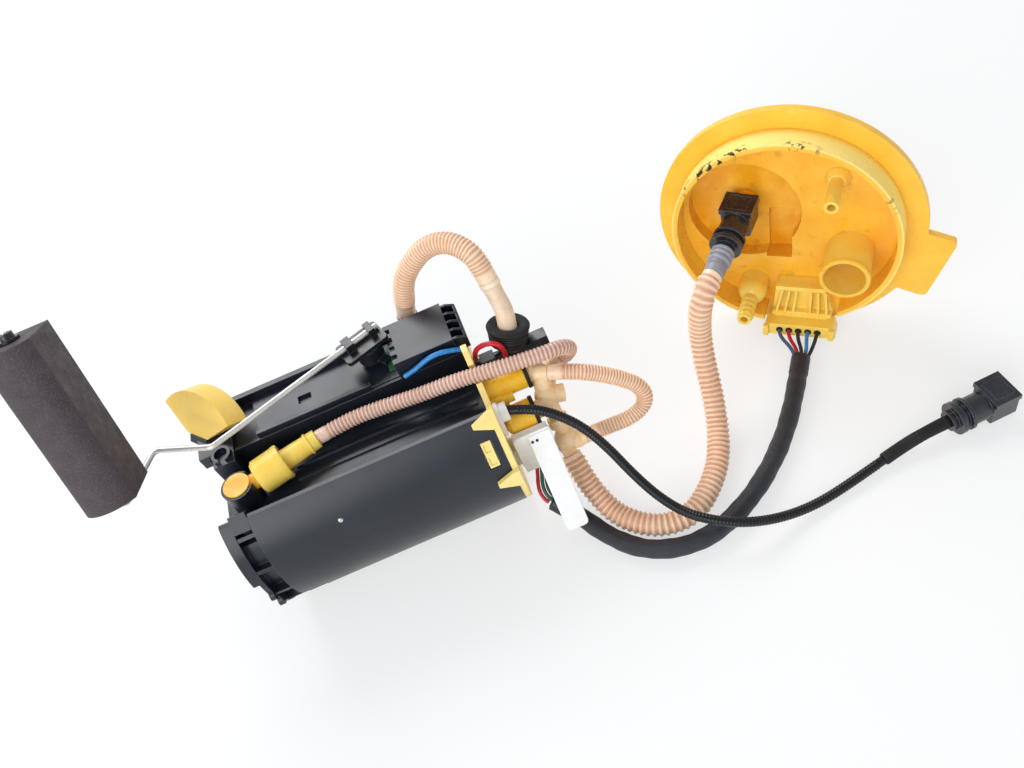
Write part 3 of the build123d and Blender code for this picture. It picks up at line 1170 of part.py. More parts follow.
with BuildPart() as top_connector_plug:
    with BuildSketch(Plane.YZ.offset(TOWER_END)):
        with Locations(TOWER_AT):
            RegularPolygon(TOWER_PLUG[0], 6)
    extrude(amount=-TOWER_PLUG[1])
    plug_floor = (TOWER_END - TOWER_PLUG_FLOOR, *TOWER_AT)
    rod((PLATE_FACE, *TOWER_AT), plug_floor, TOWER_PIPE_RADIUS, Mode.SUBTRACT)
    rod(plug_floor, (TOWER_END + 1, *TOWER_AT), TOWER_PLUG_HOLE, Mode.SUBTRACT)
keep(top_connector_plug, "top_connector_plug")

# ---- lid ----------------------------------------------------------------------------------------
with BuildPart() as lid_flange:
    disc(LID, -LID_PLATE, 0, LID_RADIUS)
    disc(LID, -LID_PLATE - LID_BACK_RING, -LID_PLATE, SPIGOT_RADIUS + 3)
    disc(LID, -LID_PLATE - LID_BACK_RING, -LID_PLATE, SPIGOT_RADIUS, Mode.SUBTRACT)
    # keying tab outside the flange
    with BuildSketch(LID):
        with Locations(Location((0, 0, 0), (0, 0, KEY_TAB_ANGLE))):
            with Locations((LID_RADIUS - 3, 0)):
                RectangleRounded(2 * KEY_TAB[1] + 6, KEY_TAB[0], 3)
        Circle(LID_RADIUS - 1, mode=Mode.SUBTRACT)
    extrude(amount=-LID_PLATE)
    # domed pocket and the square recess beside it
    pocket = Plane(origin=on_lid(*POCKET_CENTRE), x_dir=LID_LEVEL, z_dir=LID_OUT)
    recess = Plane(origin=on_lid(*RECESS_CENTRE), x_dir=LID_LEVEL, z_dir=LID_OUT)
    disc(pocket, -LID_POCKET_DEPTH - LID_WALL, 0, LID_POCKET_RADIUS + LID_WALL)
    with BuildSketch(recess.offset(-LID_POCKET_DEPTH - RECESS_DEPTH - LID_WALL)):
        Rectangle(RECESS_SIZE[0] + 2 * LID_WALL, RECESS_SIZE[1] + 2 * LID_WALL)
    extrude(amount=LID_POCKET_DEPTH + RECESS_DEPTH + LID_WALL)
    # fuel outlet, leaning, and its spigot on the outer side
    outlet_back = Plane(origin=on_lid(*OUTLET_FOOT, -LID_POCKET_DEPTH), x_dir=LID_LEVEL, z_dir=LID_OUT)
    disc(pocket, -LID_POCKET_DEPTH, 1, LID_POCKET_RADIUS, Mode.SUBTRACT)
    with BuildSketch(recess.offset(1)):
        Rectangle(*RECESS_SIZE)
    extrude(amount=-LID_POCKET_DEPTH - RECESS_DEPTH - 1, mode=Mode.SUBTRACT)
    disc(OUTLET, 0, CONNECTOR_START - 1, OUTLET_RADIUS + 1)
    disc(OUTLET, 0, OUTLET_LENGTH, OUTLET_RADIUS)
    disc(outlet_back, -BACK_SPIGOT, 0, BACK_SPIGOT_RADIUS)
    disc(outlet_back, -BACK_SPIGOT - 1, 0, NIPPLE_DUCT, Mode.SUBTRACT)
    disc(OUTLET, 0, OUTLET_LENGTH + 1, OUTLET_DUCT, Mode.SUBTRACT)
    # holes for the vent, the barbed spigot and the filler
    vent = Plane(origin=on_lid(*VENT_AT), x_dir=LID_LEVEL, z_dir=LID_OUT)
    barb = Plane(origin=on_lid(*BARB_AT), x_dir=LID_LEVEL, z_dir=LID_OUT)
    filler = Plane(origin=on_lid(*FILLER_AT), x_dir=LID_LEVEL, z_dir=LID_OUT)
    disc(vent, -LID_PLATE - 1, 1, VENT_RADIUS + NIPPLE_COLLAR, Mode.SUBTRACT)
    disc(barb, -LID_PLATE - 1, 1, BARB_CORE_RADIUS + NIPPLE_COLLAR, Mode.SUBTRACT)
    disc(filler, -LID_PLATE - 1, 1, FILLER_RADIUS, Mode.SUBTRACT)
    # socket shroud on the outer side, and holes for the pins
    plug = Plane(origin=on_lid(*PLUG_CENTRE), x_dir=LID_LEVEL, z_dir=LID_OUT)
    with BuildSketch(plug.offset(-LID_PLATE)):
        with Locations((0, 4)):
            RectangleRounded(SOCKET_SIZE[0], SOCKET_SIZE[1], 3)
            socket_bore = (SOCKET_SIZE[0] - 2 * SOCKET_WALL, SOCKET_SIZE[1] - 2 * SOCKET_WALL)
            RectangleRounded(*socket_bore, 2, mode=Mode.SUBTRACT)
    extrude(amount=-SOCKET_SIZE[2])
    with BuildSketch(plug):
        with Locations((0, 4)):
            with GridLocations(PIN_PITCH, 0, PIN_COUNT, 1):
                Rectangle(*PIN_SECTION)
    extrude(amount=-2 * LID_PLATE, mode=Mode.SUBTRACT)
keep(lid_flange, "lid_flange")

with BuildPart() as lid_ring:
    disc(LID, 0, SPIGOT_HEIGHT, SPIGOT_RADIUS)
    disc(LID, 0, SPIGOT_HEIGHT, SPIGOT_RADIUS - SPIGOT_WALL, Mode.SUBTRACT)
    # gap for the harness plug
    with BuildSketch(plug):
        with Locations((0, -PLUG_BODY[1] / 2)):
            Rectangle(PLUG_BODY[0] + 2 * RING_GAP_MARGIN, PLUG_BODY[1])
    extrude(amount=SPIGOT_HEIGHT, mode=Mode.SUBTRACT)
keep(lid_ring, "lid_ring")

with BuildPart() as lid_filler:
    filler_back = -LID_PLATE - BACK_FILLER
    disc(filler, filler_back, FILLER_LENGTH, FILLER_RADIUS)
    disc(filler, filler_back, filler_back + FILLER_BEAD[0], FILLER_RADIUS + FILLER_BEAD[1])
    disc(filler, filler_back - 1, FILLER_LENGTH + 1, FILLER_BORE, Mode.SUBTRACT)
keep(lid_filler, "lid_filler")

with BuildPart() as lid_nipples:
    nipple_back = -LID_PLATE - BACK_SPIGOT
    disc(vent, 0, VENT_FOOT[0], VENT_RADIUS + VENT_FOOT[1], tip=VENT_RADIUS + VENT_FOOT[2])
    disc(vent, nipple_back, VENT_LENGTH, VENT_RADIUS)
    disc(vent, -LID_PLATE, 0, VENT_RADIUS + NIPPLE_COLLAR)
    disc(vent, nipple_back - 1, VENT_LENGTH + 1, NIPPLE_DUCT, Mode.SUBTRACT)
    shoulder = BARB_BASE - BARB_BASE_RADIUS / 2
    disc(barb, 0, shoulder, BARB_BASE_RADIUS)
    ball(barb.offset(shoulder).origin, BARB_BASE_RADIUS)
    disc(barb, nipple_back, BARB_LENGTH, BARB_CORE_RADIUS)
    disc(barb, -LID_PLATE, 0, BARB_CORE_RADIUS + NIPPLE_COLLAR)
    for ring in range(BARB_RINGS):
        top = BARB_LENGTH - ring * BARB_RING_PITCH
        disc(barb, top - BARB_RING_LENGTH, top, BARB_RADIUS, tip=BARB_TIP_RADIUS)
    disc(barb, nipple_back - 1, BARB_LENGTH + 1, NIPPLE_DUCT, Mode.SUBTRACT)
keep(lid_nipples, "lid_nipples")

with BuildPart() as lid_terminals:
    with BuildSketch(plug.offset(-LID_PLATE - SOCKET_SIZE[2] + 3)):
        with Locations((0, 4)):
            with GridLocations(PIN_PITCH, 0, PIN_COUNT, 1):
                Rectangle(*PIN_SECTION)
    extrude(amount=LID_PLATE + SOCKET_SIZE[2] - 3)
keep(lid_terminals, "lid_terminals")

with BuildPart() as lid_harness_plug:
    with BuildSketch(plug):
        Rectangle(PLUG_BODY[0], PLUG_BODY[1])
    extrude(amount=PLUG_BODY[2])
    pitch = PLUG_BODY[0] / PLUG_RIBS
    with BuildSketch(plug.offset(PLUG_BODY[2])):
        with GridLocations(pitch, 0, PLUG_RIBS, 1):
            Rectangle(pitch - 2.6, PLUG_BODY[1] - 2)
    extrude(amount=1.6)
    bar = Plane(origin=on_lid(*PLUG_BAR_CENTRE, 5.0), x_dir=LID_LEVEL, z_dir=LID_OUT)
    with BuildSketch(bar):
        Rectangle(PLUG_BAR[0], PLUG_BAR[1])
    extrude(amount=PLUG_BAR[2])
    with BuildSketch(bar):
        with Locations((0, PLUG_BAR[1] / 2 + 1)):
            Rectangle(PLUG_BODY[0] - 4, 4)
    extrude(amount=4)
    with BuildSketch(bar.offset(PLUG_BAR[2])):
        with GridLocations(PIN_PITCH, 0, PIN_COUNT, 1):
            Circle(LEAD_WIRE / 2 + 0.4)
    extrude(amount=-1.5, mode=Mode.SUBTRACT)
keep(lid_harness_plug, "lid_harness_plug")

# ---- quick connectors ---------------------------------------------------------------------------
for name, mouth in {"lid_connector": LID_CONNECTOR, "free_connector": FREE_CONNECTOR}.items():
    head_height = COUPLING_HEAD_TOP - COUPLING_HEAD_LOW
    with BuildPart() as connector:
        with BuildSketch(mouth):
            with Locations((0, (COUPLING_HEAD_TOP + COUPLING_HEAD_LOW) / 2)):
                RectangleRounded(COUPLING_HEAD[0], head_height, 2)
            with Locations((0, COUPLING_HEAD_TOP - COUPLING_BROW[1] / 2)):
                Rectangle(COUPLING_BROW[0], COUPLING_BROW[1])
        extrude(amount=COUPLING_HEAD[1])
        disc(mouth, COUPLING_HEAD[1], COUPLING_BARREL_END, COUPLING_BARREL_RADIUS)
        disc(mouth, COUPLING_BARREL_END, COUPLING_LENGTH - 4, COUPLING_WAIST_RADIUS)
        disc(mouth, COUPLING_LENGTH - 4, COUPLING_LENGTH, COUPLING_STEM_RADIUS)
        for start, thickness in COUPLING_RINGS:
            disc(mouth, start, start + thickness, COUPLING_RING_RADIUS)
        disc(mouth, -1, COUPLING_SOCKET, COUPLING_BORE, Mode.SUBTRACT)
        disc(mouth, 0, COUPLING_LENGTH + 1, COUPLING_DUCT, Mode.SUBTRACT)
        groove = SEAL_WIRE_RADIUS + SEAL_SIDE_GAP
        disc(mouth, SEAL_LEVEL - groove, SEAL_LEVEL + groove, SEAL_GROOVE_RADIUS, Mode.SUBTRACT)
        # slot for the latch, and the well for its button
        slot_low = LATCH_LOW - LATCH_TRAVEL - 0.1
        with BuildSketch(mouth.offset(LATCH_LEVEL - RUNNING_GAP)):
            with Locations((0, (slot_low + BUTTON_TOP) / 2)):
                Rectangle(LATCH_WIDTH + 2 * RUNNING_GAP, BUTTON_TOP - slot_low)
        extrude(amount=LATCH_THICKNESS + 2 * RUNNING_GAP, mode=Mode.SUBTRACT)
        well_low = BUTTON_LOW - LATCH_TRAVEL - 0.1
        with BuildSketch(mouth.offset(BUTTON_LEVEL - BUTTON_SIZE[1] / 2 - TOUCH_GAP)):
            with Locations((0, (well_low + COUPLING_HEAD_TOP) / 2)):
                Rectangle(BUTTON_SIZE[0] + 2 * TOUCH_GAP, COUPLING_HEAD_TOP - well_low)
        extrude(amount=BUTTON_SIZE[1] + 2 * TOUCH_GAP, mode=Mode.SUBTRACT)
    keep(connector, name)

    with BuildPart() as latch:
        with BuildSketch(mouth.offset(LATCH_LEVEL)):
            with Locations((0, (LATCH_LOW + BUTTON_LOW) / 2)):
                Rectangle(LATCH_WIDTH, BUTTON_LOW - LATCH_LOW)
            with Locations((0, LATCH_TRAVEL / 2)):
                SlotCenterToCenter(LATCH_TRAVEL, 2 * LATCH_EYE_RADIUS, rotation=90, mode=Mode.SUBTRACT)
        extrude(amount=LATCH_THICKNESS)
        with BuildSketch(mouth.offset(BUTTON_LEVEL - BUTTON_SIZE[1] / 2)):
            with Locations((0, (BUTTON_LOW + BUTTON_TOP) / 2)):
                Rectangle(BUTTON_SIZE[0], BUTTON_TOP - BUTTON_LOW)
        extrude(amount=BUTTON_SIZE[1])
    keep(latch, f"{name}_latch")

    with BuildPart() as seal:
        with Locations(mouth.offset(SEAL_LEVEL)):
            Torus(COUPLING_BORE + SEAL_WIRE_RADIUS, SEAL_WIRE_RADIUS)
    keep(seal, f"{name}_seal")

# ---- pump and what stands with it inside the reservoir ------------------------------------------
PUMP = Plane(origin=(PUMP_START, POT_AXIS_Y, POT_RADIUS + PUMP_DROP), x_dir=(0, 1, 0), z_dir=(1, 0, 0))
CASE_BORE = PUMP_RADIUS - PUMP_WALL
with BuildPart() as pump_case:
    disc(PUMP, 0, PUMP_LENGTH, PUMP_RADIUS)
    disc(PUMP, -1, PUMP_LENGTH + 1, CASE_BORE, Mode.SUBTRACT)
keep(pump_case, "pump_case")

with BuildPart() as pump_inlet_cover:
    disc(PUMP, -PUMP_CAP, 0, PUMP_RADIUS)
    disc(PUMP, 0, PUMP_SPIGOT, CASE_BORE)
    inlet = PUMP.from_local_coords(Vector(0, -PUMP_NIPPLE_DROP, 0))
    inlet_plane = Plane(origin=inlet, z_dir=(1, 0, 0))
    disc(inlet_plane, -PUMP_CAP - PUMP_NIPPLE[1], -PUMP_CAP, PUMP_NIPPLE[0])
    disc(inlet_plane, -PUMP_CAP - PUMP_NIPPLE[1] - 1, PUMP_SPIGOT + 1, DUCT_RADIUS, Mode.SUBTRACT)
    disc(PUMP, -SHAFT_OVERHANG, PUMP_SPIGOT + 1, SHAFT_RADIUS + RUNNING_GAP, Mode.SUBTRACT)
keep(pump_inlet_cover, "pump_inlet_cover")

with BuildPart() as pump_end_cap:
    disc(PUMP, PUMP_LENGTH, PUMP_LENGTH + PUMP_CAP, PUMP_RADIUS)
    disc(PUMP, PUMP_LENGTH - PUMP_SPIGOT, PUMP_LENGTH, CASE_BORE)
    outlet = PUMP.from_local_coords(Vector(0, PUMP_NIPPLE_DROP, PUMP_LENGTH))
    outlet_plane = Plane(origin=outlet, z_dir=(1, 0, 0))
    disc(outlet_plane, PUMP_CAP, PUMP_CAP + PUMP_OUTLET[1], PUMP_OUTLET[0])
    disc(outlet_plane, -PUMP_SPIGOT - 1, PUMP_CAP + PUMP_OUTLET[1] + 1, DUCT_RADIUS, Mode.SUBTRACT)
    shaft_bore = SHAFT_RADIUS + RUNNING_GAP
    disc(PUMP, PUMP_LENGTH - PUMP_SPIGOT - 1, PUMP_LENGTH + SHAFT_OVERHANG, shaft_bore, Mode.SUBTRACT)
keep(pump_end_cap, "pump_end_cap")

with BuildPart() as pump_armature:
    disc(PUMP, TOUCH_GAP - SHAFT_OVERHANG, PUMP_LENGTH + SHAFT_OVERHANG - TOUCH_GAP, SHAFT_RADIUS)
    with BuildSketch(PUMP.offset(ARMATURE_START)):
        Circle(ARMATURE_RADIUS)
        with PolarLocations(ARMATURE_RADIUS, ARMATURE_SLOTS):
            Rectangle(7, 1.6, mode=Mode.SUBTRACT)
    extrude(amount=ARMATURE_LENGTH)
    disc(PUMP, ARMATURE_START + ARMATURE_LENGTH, ARMATURE_START + ARMATURE_LENGTH + 6, 6)
keep(pump_armature, "pump_armature")

with BuildPart() as pump_impeller:
    with BuildSketch(PUMP.offset(IMPELLER_START)):
        Circle(IMPELLER_RADIUS)
        with PolarLocations(IMPELLER_RADIUS, IMPELLER_VANES):
            Rectangle(5, 2.4, mode=Mode.SUBTRACT)
        Circle(SHAFT_RADIUS, mode=Mode.SUBTRACT)
    extrude(amount=IMPELLER)
keep(pump_impeller, "pump_impeller")

with BuildPart() as pump_magnets:
    with BuildSketch(PUMP.offset(ARMATURE_START)):
        Circle(CASE_BORE)
        Circle(CASE_BORE - MAGNET_THICKNESS, mode=Mode.SUBTRACT)
        for side in (-1, 1):
            gap_side = CASE_BORE * tan(radians((180 - MAGNET_SPAN) / 2))
            far = side * 2 * CASE_BORE
            Polygon((0, 0), (far, 2 * gap_side), (far, -2 * gap_side), align=None, mode=Mode.SUBTRACT)
    extrude(amount=ARMATURE_LENGTH)
keep(pump_magnets, "pump_magnets")

with BuildPart() as pump_sleeve:
    with BuildSketch(PUMP.offset(SLEEVE_START)):
        Circle(PUMP_RADIUS + SLEEVE_WALL)
        for angle in (30, 150, 270):
            with Locations(Location((0, 0, 0), (0, 0, angle))):
                with Locations((POT_RADIUS / 2, 0)):
                    Rectangle(POT_RADIUS, SLEEVE_LEG)
        Circle(PUMP_RADIUS, mode=Mode.SUBTRACT)
    extrude(amount=SLEEVE_LENGTH)
    with BuildSketch(POT):
        cavity_section(gap=0.1)
    extrude(amount=-POT_BODY, mode=Mode.INTERSECT)
keep(pump_sleeve, "pump_sleeve")

with BuildPart() as suction_strainer:
    strainer_x = PUMP_START - PUMP_CAP - PUMP_NIPPLE[1]
    with BuildSketch(Plane.YZ.offset(strainer_x)):
        with Locations((POT_AXIS_Y + STRAINER_AT[0], POT_RADIUS + STRAINER_AT[1])):
            RectangleRounded(STRAINER[1], STRAINER[2], 6)
    extrude(amount=-STRAINER[0])
keep(suction_strainer, "suction_strainer")

with BuildPart() as jet_pump:
    jet_foot = POT_MOUTH_X - POT_BODY + BASE_PLUG
    jet = Plane(origin=at_pot(JET_AT, jet_foot), x_dir=(0, 1, 0), z_dir=(1, 0, 0))
    disc(jet, 0, JET_LENGTH - JET_TAPER, JET_RADIUS)
    disc(jet, JET_LENGTH - JET_TAPER, JET_LENGTH, JET_RADIUS, tip=JET_BORE + 1)
    disc(jet, JET_THROAT, JET_LENGTH + 1, JET_BORE, Mode.SUBTRACT)
    disc(jet, -1, JET_THROAT + 1, JET_NOZZLE, Mode.SUBTRACT)
keep(jet_pump, "jet_pump")

# ---- cords --------------------------------------------------------------------------------------
CORDS = {
    "feed_hose": (FEED_ROUTE, FEED_HOSE),
    "jet_hose": (JET_ROUTE, JET_HOSE),
    "link_hose": (LINK_ROUTE, LINK_HOSE),
    "return_hose": (RETURN_ROUTE, RETURN_HOSE),
    "aux_line": (AUX_ROUTE, AUX_LINE),
    "aux_sleeve": (AUX_SLEEVE_ROUTE, AUX_SLEEVE),
    "loom": (LOOM_ROUTE, LOOM),
    "red_wire": (JUMPER_ROUTE, JUMPER_WIRE),
    "blue_wire": (SENDER_LEAD_ROUTE, JUMPER_WIRE),
}
for name, (route, diameter) in CORDS.items():
    with BuildPart() as cord:
        length = cord_tube(route, diameter)
    expected = length * pi * diameter**2 / 4
    print(name, "radii", [round(radius, 1) for radius in bend_radii(route)])
    print(name, "length", round(length, 1), "volume ratio", round(cord.part.volume / expected, 4))
    keep(cord, name)

LOOM_START = Plane(origin=LOOM_ROUTE[0], x_dir=(1, 0, 0), z_dir=heading(LOOM_ROUTE[1], LOOM_ROUTE[0]))
LOOM_END = Plane(origin=LOOM_ROUTE[-1], x_dir=LID_LEVEL, z_dir=heading(LOOM_ROUTE[-2], LOOM_ROUTE[-1]))
BAR_FACE = bar.offset(PLUG_BAR[2] - 1.5)
with BuildPart() as plug_leads:
    for lead in range(PIN_COUNT):
        step = lead - (PIN_COUNT - 1) / 2
        plug_end = BAR_FACE.from_local_coords(Vector(step * PIN_PITCH, 0, 0))
        plug_exit = BAR_FACE.from_local_coords(Vector(step * PIN_PITCH, 0, 5))
        loom_exit = LOOM_END.from_local_coords(Vector(step * LEAD_PITCH, 0, 4))
        loom_end = LOOM_END.from_local_coords(Vector(step * LEAD_PITCH, 0, 0))
        cord_tube([tuple(plug_end), tuple(plug_exit), tuple(loom_exit), tuple(loom_end)], LEAD_WIRE)
keep(plug_leads, "plug_leads")

with BuildPart() as bracket_leads:
    for lead in range(3):
        step = lead - 1
        block_end = Vector(BLOCK_LEAD_X + step * BLOCK_LEAD_PITCH, BLOCK_NEAR_Y + 5, BLOCK_LOW + 8)
        block_exit = block_end + Vector(0, 0, -10)
        loom_exit = LOOM_START.from_local_coords(Vector(step * LEAD_PITCH, 0, 6))
        loom_end = LOOM_START.from_local_coords(Vector(step * LEAD_PITCH, 0, 0))
        cord_tube([tuple(block_end), tuple(block_exit), tuple(loom_exit), tuple(loom_end)], LEAD_WIRE)
keep(bracket_leads, "bracket_leads")

# ---- cuffs on the hoses' ends -------------------------------------------------------------------
with BuildPart() as feed_cuff:
    feed_end = Vector(*FEED_ROUTE[-1])
    cuff_dir = heading(FEED_ROUTE[-2], FEED_ROUTE[-1])
    cuff_route = [
        feed_end,
        feed_end + cuff_dir * 8,
        CUP_MOUTH.offset(6).origin,
        CUP_MOUTH.offset(-CUP_DEPTH).origin,
    ]
    cord_tube([tuple(point) for point in cuff_route], 2 * FEED_CUFF_RADIUS)
keep(feed_cuff, "feed_cuff")

with BuildPart() as return_cuff:
    disc(CUFF_START, 0, RETURN_CUFF - CUFF_TIP, CUFF_RADIUS)
    disc(CUFF_START, RETURN_CUFF - CUFF_TIP, RETURN_CUFF, CUFF_TIP_RADIUS)
    disc(CUFF_START, -1, RETURN_CUFF + 1, OUTLET_DUCT, Mode.SUBTRACT)
    rod(RETURN_ROUTE[-1], RETURN_ROUTE[-2], RETURN_HOSE / 2, Mode.SUBTRACT)
keep(return_cuff, "return_cuff")
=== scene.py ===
"""Dresses a fuel pump module: a black reservoir pot with its float, hoses and loom, and a round tank lid.

Sizes are in millimetres until they reach a mesh, which is in metres.
"""

import logging
from bisect import bisect_right
from collections.abc import Sequence
from dataclasses import dataclass
from enum import Enum
from math import ceil, cos, pi, sin
from typing import ClassVar

import bpy
from mathutils import Matrix, Vector


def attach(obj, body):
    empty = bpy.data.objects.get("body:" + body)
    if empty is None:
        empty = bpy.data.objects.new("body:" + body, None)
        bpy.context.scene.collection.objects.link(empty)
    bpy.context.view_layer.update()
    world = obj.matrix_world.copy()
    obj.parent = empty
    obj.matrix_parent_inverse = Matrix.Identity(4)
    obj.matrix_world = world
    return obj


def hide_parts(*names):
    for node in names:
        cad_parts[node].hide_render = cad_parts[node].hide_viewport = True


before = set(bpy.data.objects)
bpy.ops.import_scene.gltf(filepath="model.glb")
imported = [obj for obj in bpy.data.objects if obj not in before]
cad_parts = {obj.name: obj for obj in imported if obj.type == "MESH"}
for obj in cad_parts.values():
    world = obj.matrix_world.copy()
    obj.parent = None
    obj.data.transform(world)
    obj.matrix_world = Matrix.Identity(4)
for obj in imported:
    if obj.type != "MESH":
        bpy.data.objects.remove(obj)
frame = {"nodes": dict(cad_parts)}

log = logging.getLogger("fuel_pump_module")

MM = 0.001
# from the module's own millimetres to the middle of the shared frame, in mm
SHIFT = Vector((-6.0, 16.0, 0.0))
# how far the floor lies under the module, in metres
FLOOR_DROP = 0.0002
# width of one thread's lane round a tube, and the step of a cord's path, in mm
WRAP_LANE = 0.75
PATH_STEP = 1.5
# steps of a rounded corner, and of each stretch of a smooth line
ROUND_STEPS = 6
LINE_STEPS = 24
# the sharpest turn that is still shaded smooth, in radians
SMOOTH_TURN = 0.75
# rays that look for an edge to round
EDGE_SAMPLES = 4
# how far each colour of light spreads inside a pale plastic, and the scale of it, in metres
SPREAD_INSIDE = (1.0, 0.6, 0.3)
SPREAD_SCALE = 0.0015
WHITE = (1.0, 1.0, 1.0, 1.0)

Colour = tuple[int, int, int]
Spot = tuple[float, float, float]


def at(point: Sequence[float]) -> Vector:
    """Turn a place in the module's own millimetres into metres in the shared frame."""
    return (Vector(point) + SHIFT) * MM


def linear(colour: Colour) -> tuple[float, float, float, float]:
    """Turn a written colour of 0 to 255 into the linear colour that a shader takes."""
    parts = []
    for value in colour:
        share = value / 255.0
        parts.append(share / 12.92 if share <= 0.04045 else ((share + 0.055) / 1.055) ** 2.4)
    return (parts[0], parts[1], parts[2], 1.0)


class Stiffness(Enum):
    """How a cord bends."""

    LIMP = "limp"
    MEDIUM = "medium"
    STIFF = "stiff"


class FarEnd(Enum):
    """What a cord ends in."""

    OBJECT = "object"
    CONNECTOR = "connector"


class Weave(Enum):
    """How the threads of a woven surface run."""

    BRAID = "braid"
    PLAIN = "plain"


# ---- places ---------------------------------------------------------------------------------------
@dataclass(frozen=True)
class Station:
    """A plane on the module: a foot and three axes, in the module's own millimetres."""

    foot: Spot
    across: Spot
    up: Spot
    out: Spot

    @classmethod
    def along(cls, foot: Sequence[float], out: Sequence[float]) -> "Station":
        """Set up a station that looks along a direction.

        Args:
            foot: where it stands.
            out: the direction that it looks along.

        Returns:
            The station, with square axes of unit length.
        """
        ahead = Vector(out).normalized()
        across = Vector((0, 0, 1)).cross(ahead)
        if across.length < 1e-4:
            across = Vector((1, 0, 0)).cross(ahead)
        across.normalize()
        return cls(tuple(foot), tuple(across), tuple(ahead.cross(across)), tuple(ahead))

    def spot(self, u: float, v: float, h: float) -> Vector:
        """Give a place in metres from steps across, up and out."""
        return at(Vector(self.foot) + Vector(self.across) * u + Vector(self.up) * v + Vector(self.out) * h)

    def moved(self, u: float, v: float, h: float) -> "Station":
        """Give the same axes on a foot moved across, up and out."""
        foot = Vector(self.foot) + Vector(self.across) * u + Vector(self.up) * v + Vector(self.out) * h
        return Station(tuple(foot), self.across, self.up, self.out)


LID = Station(
    (152.0, 5.0, 67.051), (0.78801, -0.61566, 0.0), (0.06435, 0.08237, 0.99452),
    (-0.61229, -0.78369, 0.10453),
)
OUTLET = Station(
    (140.632, 25.371, 76.657), (0.7084, -0.70578, -0.00567), (-0.02903, -0.03715, 0.99889),
    (-0.70521, -0.70745, -0.0468),
)
# the top connector's cup, the check valve's axis, and the bar that the plug's leads leave
CUP = Station.along((-6.4, -10.5, 76.8), (0.27, 0.18, 0.95))
CUP_HEIGHT = 17.0
VALVE = Station.along((-151.0, -27.0, 81.8), (0.96456, 0.26387, 0.0))
PLUG_BAR = LID.moved(8.5, -60.4, 0.0)
PLUG_LEAD_STEP = 5.0
PLUG_LEADS = 5


# ---- node trees -----------------------------------------------------------------------------------
class Tree:
    """The nodes of a material or a world, with short calls that add and link them."""

    def __init__(self, owner: bpy.types.Material | bpy.types.World) -> None:
        """Clear the owner's nodes and start afresh."""
        owner.use_nodes = True
        self.tree = owner.node_tree
        self.tree.nodes.clear()

    def add(self, kind: str) -> bpy.types.Node:
        """Add a node of a kind."""
        return self.tree.nodes.new(kind)

    def link(self, source: object, target: bpy.types.NodeSocket) -> None:
        """Feed a socket from another, or set it where the source is a plain value."""
        if isinstance(source, bpy.types.NodeSocket):
            self.tree.links.new(source, target)
        else:
            target.default_value = source

    def maths(self, kind: str, first: object, second: object = 0.5) -> object:
        """Work on two values with a maths node of a kind, and give the result's socket."""
        node = self.add("ShaderNodeMath")
        node.operation = kind
        self.link(first, node.inputs[0])
        self.link(second, node.inputs[1])
        return node.outputs[0]

    def band(self, value: object, low: float, high: float, start: float = 0.0, end: float = 1.0) -> object:
        """Carry a value from one range to another, held at its ends.

        Args:
            value: the socket that is read.
            low: the value that becomes start.
            high: the value that becomes end.
            start: the result at low.
            end: the result at high.

        Returns:
            The socket with the result.
        """
        node = self.add("ShaderNodeMapRange")
        for socket, part in zip(node.inputs, (value, low, high, start, end)):
            self.link(part, socket)
        return node.outputs[0]

    def parts(self, vector: object) -> bpy.types.NodeOutputs:
        """Split a vector into its three values."""
        node = self.add("ShaderNodeSeparateXYZ")
        self.link(vector, node.inputs[0])
        return node.outputs

    def blend(self, share: object, first: bpy.types.Node, second: bpy.types.Node, output: str) -> None:
        """Blend two shaders by a share, and send them to an output of a kind."""
        node = self.add("ShaderNodeMixShader")
        for socket, part in zip(node.inputs, (share, first.outputs[0], second.outputs[0])):
            self.link(part, socket)
        self.link(node.outputs[0], self.add(output).inputs["Surface"])


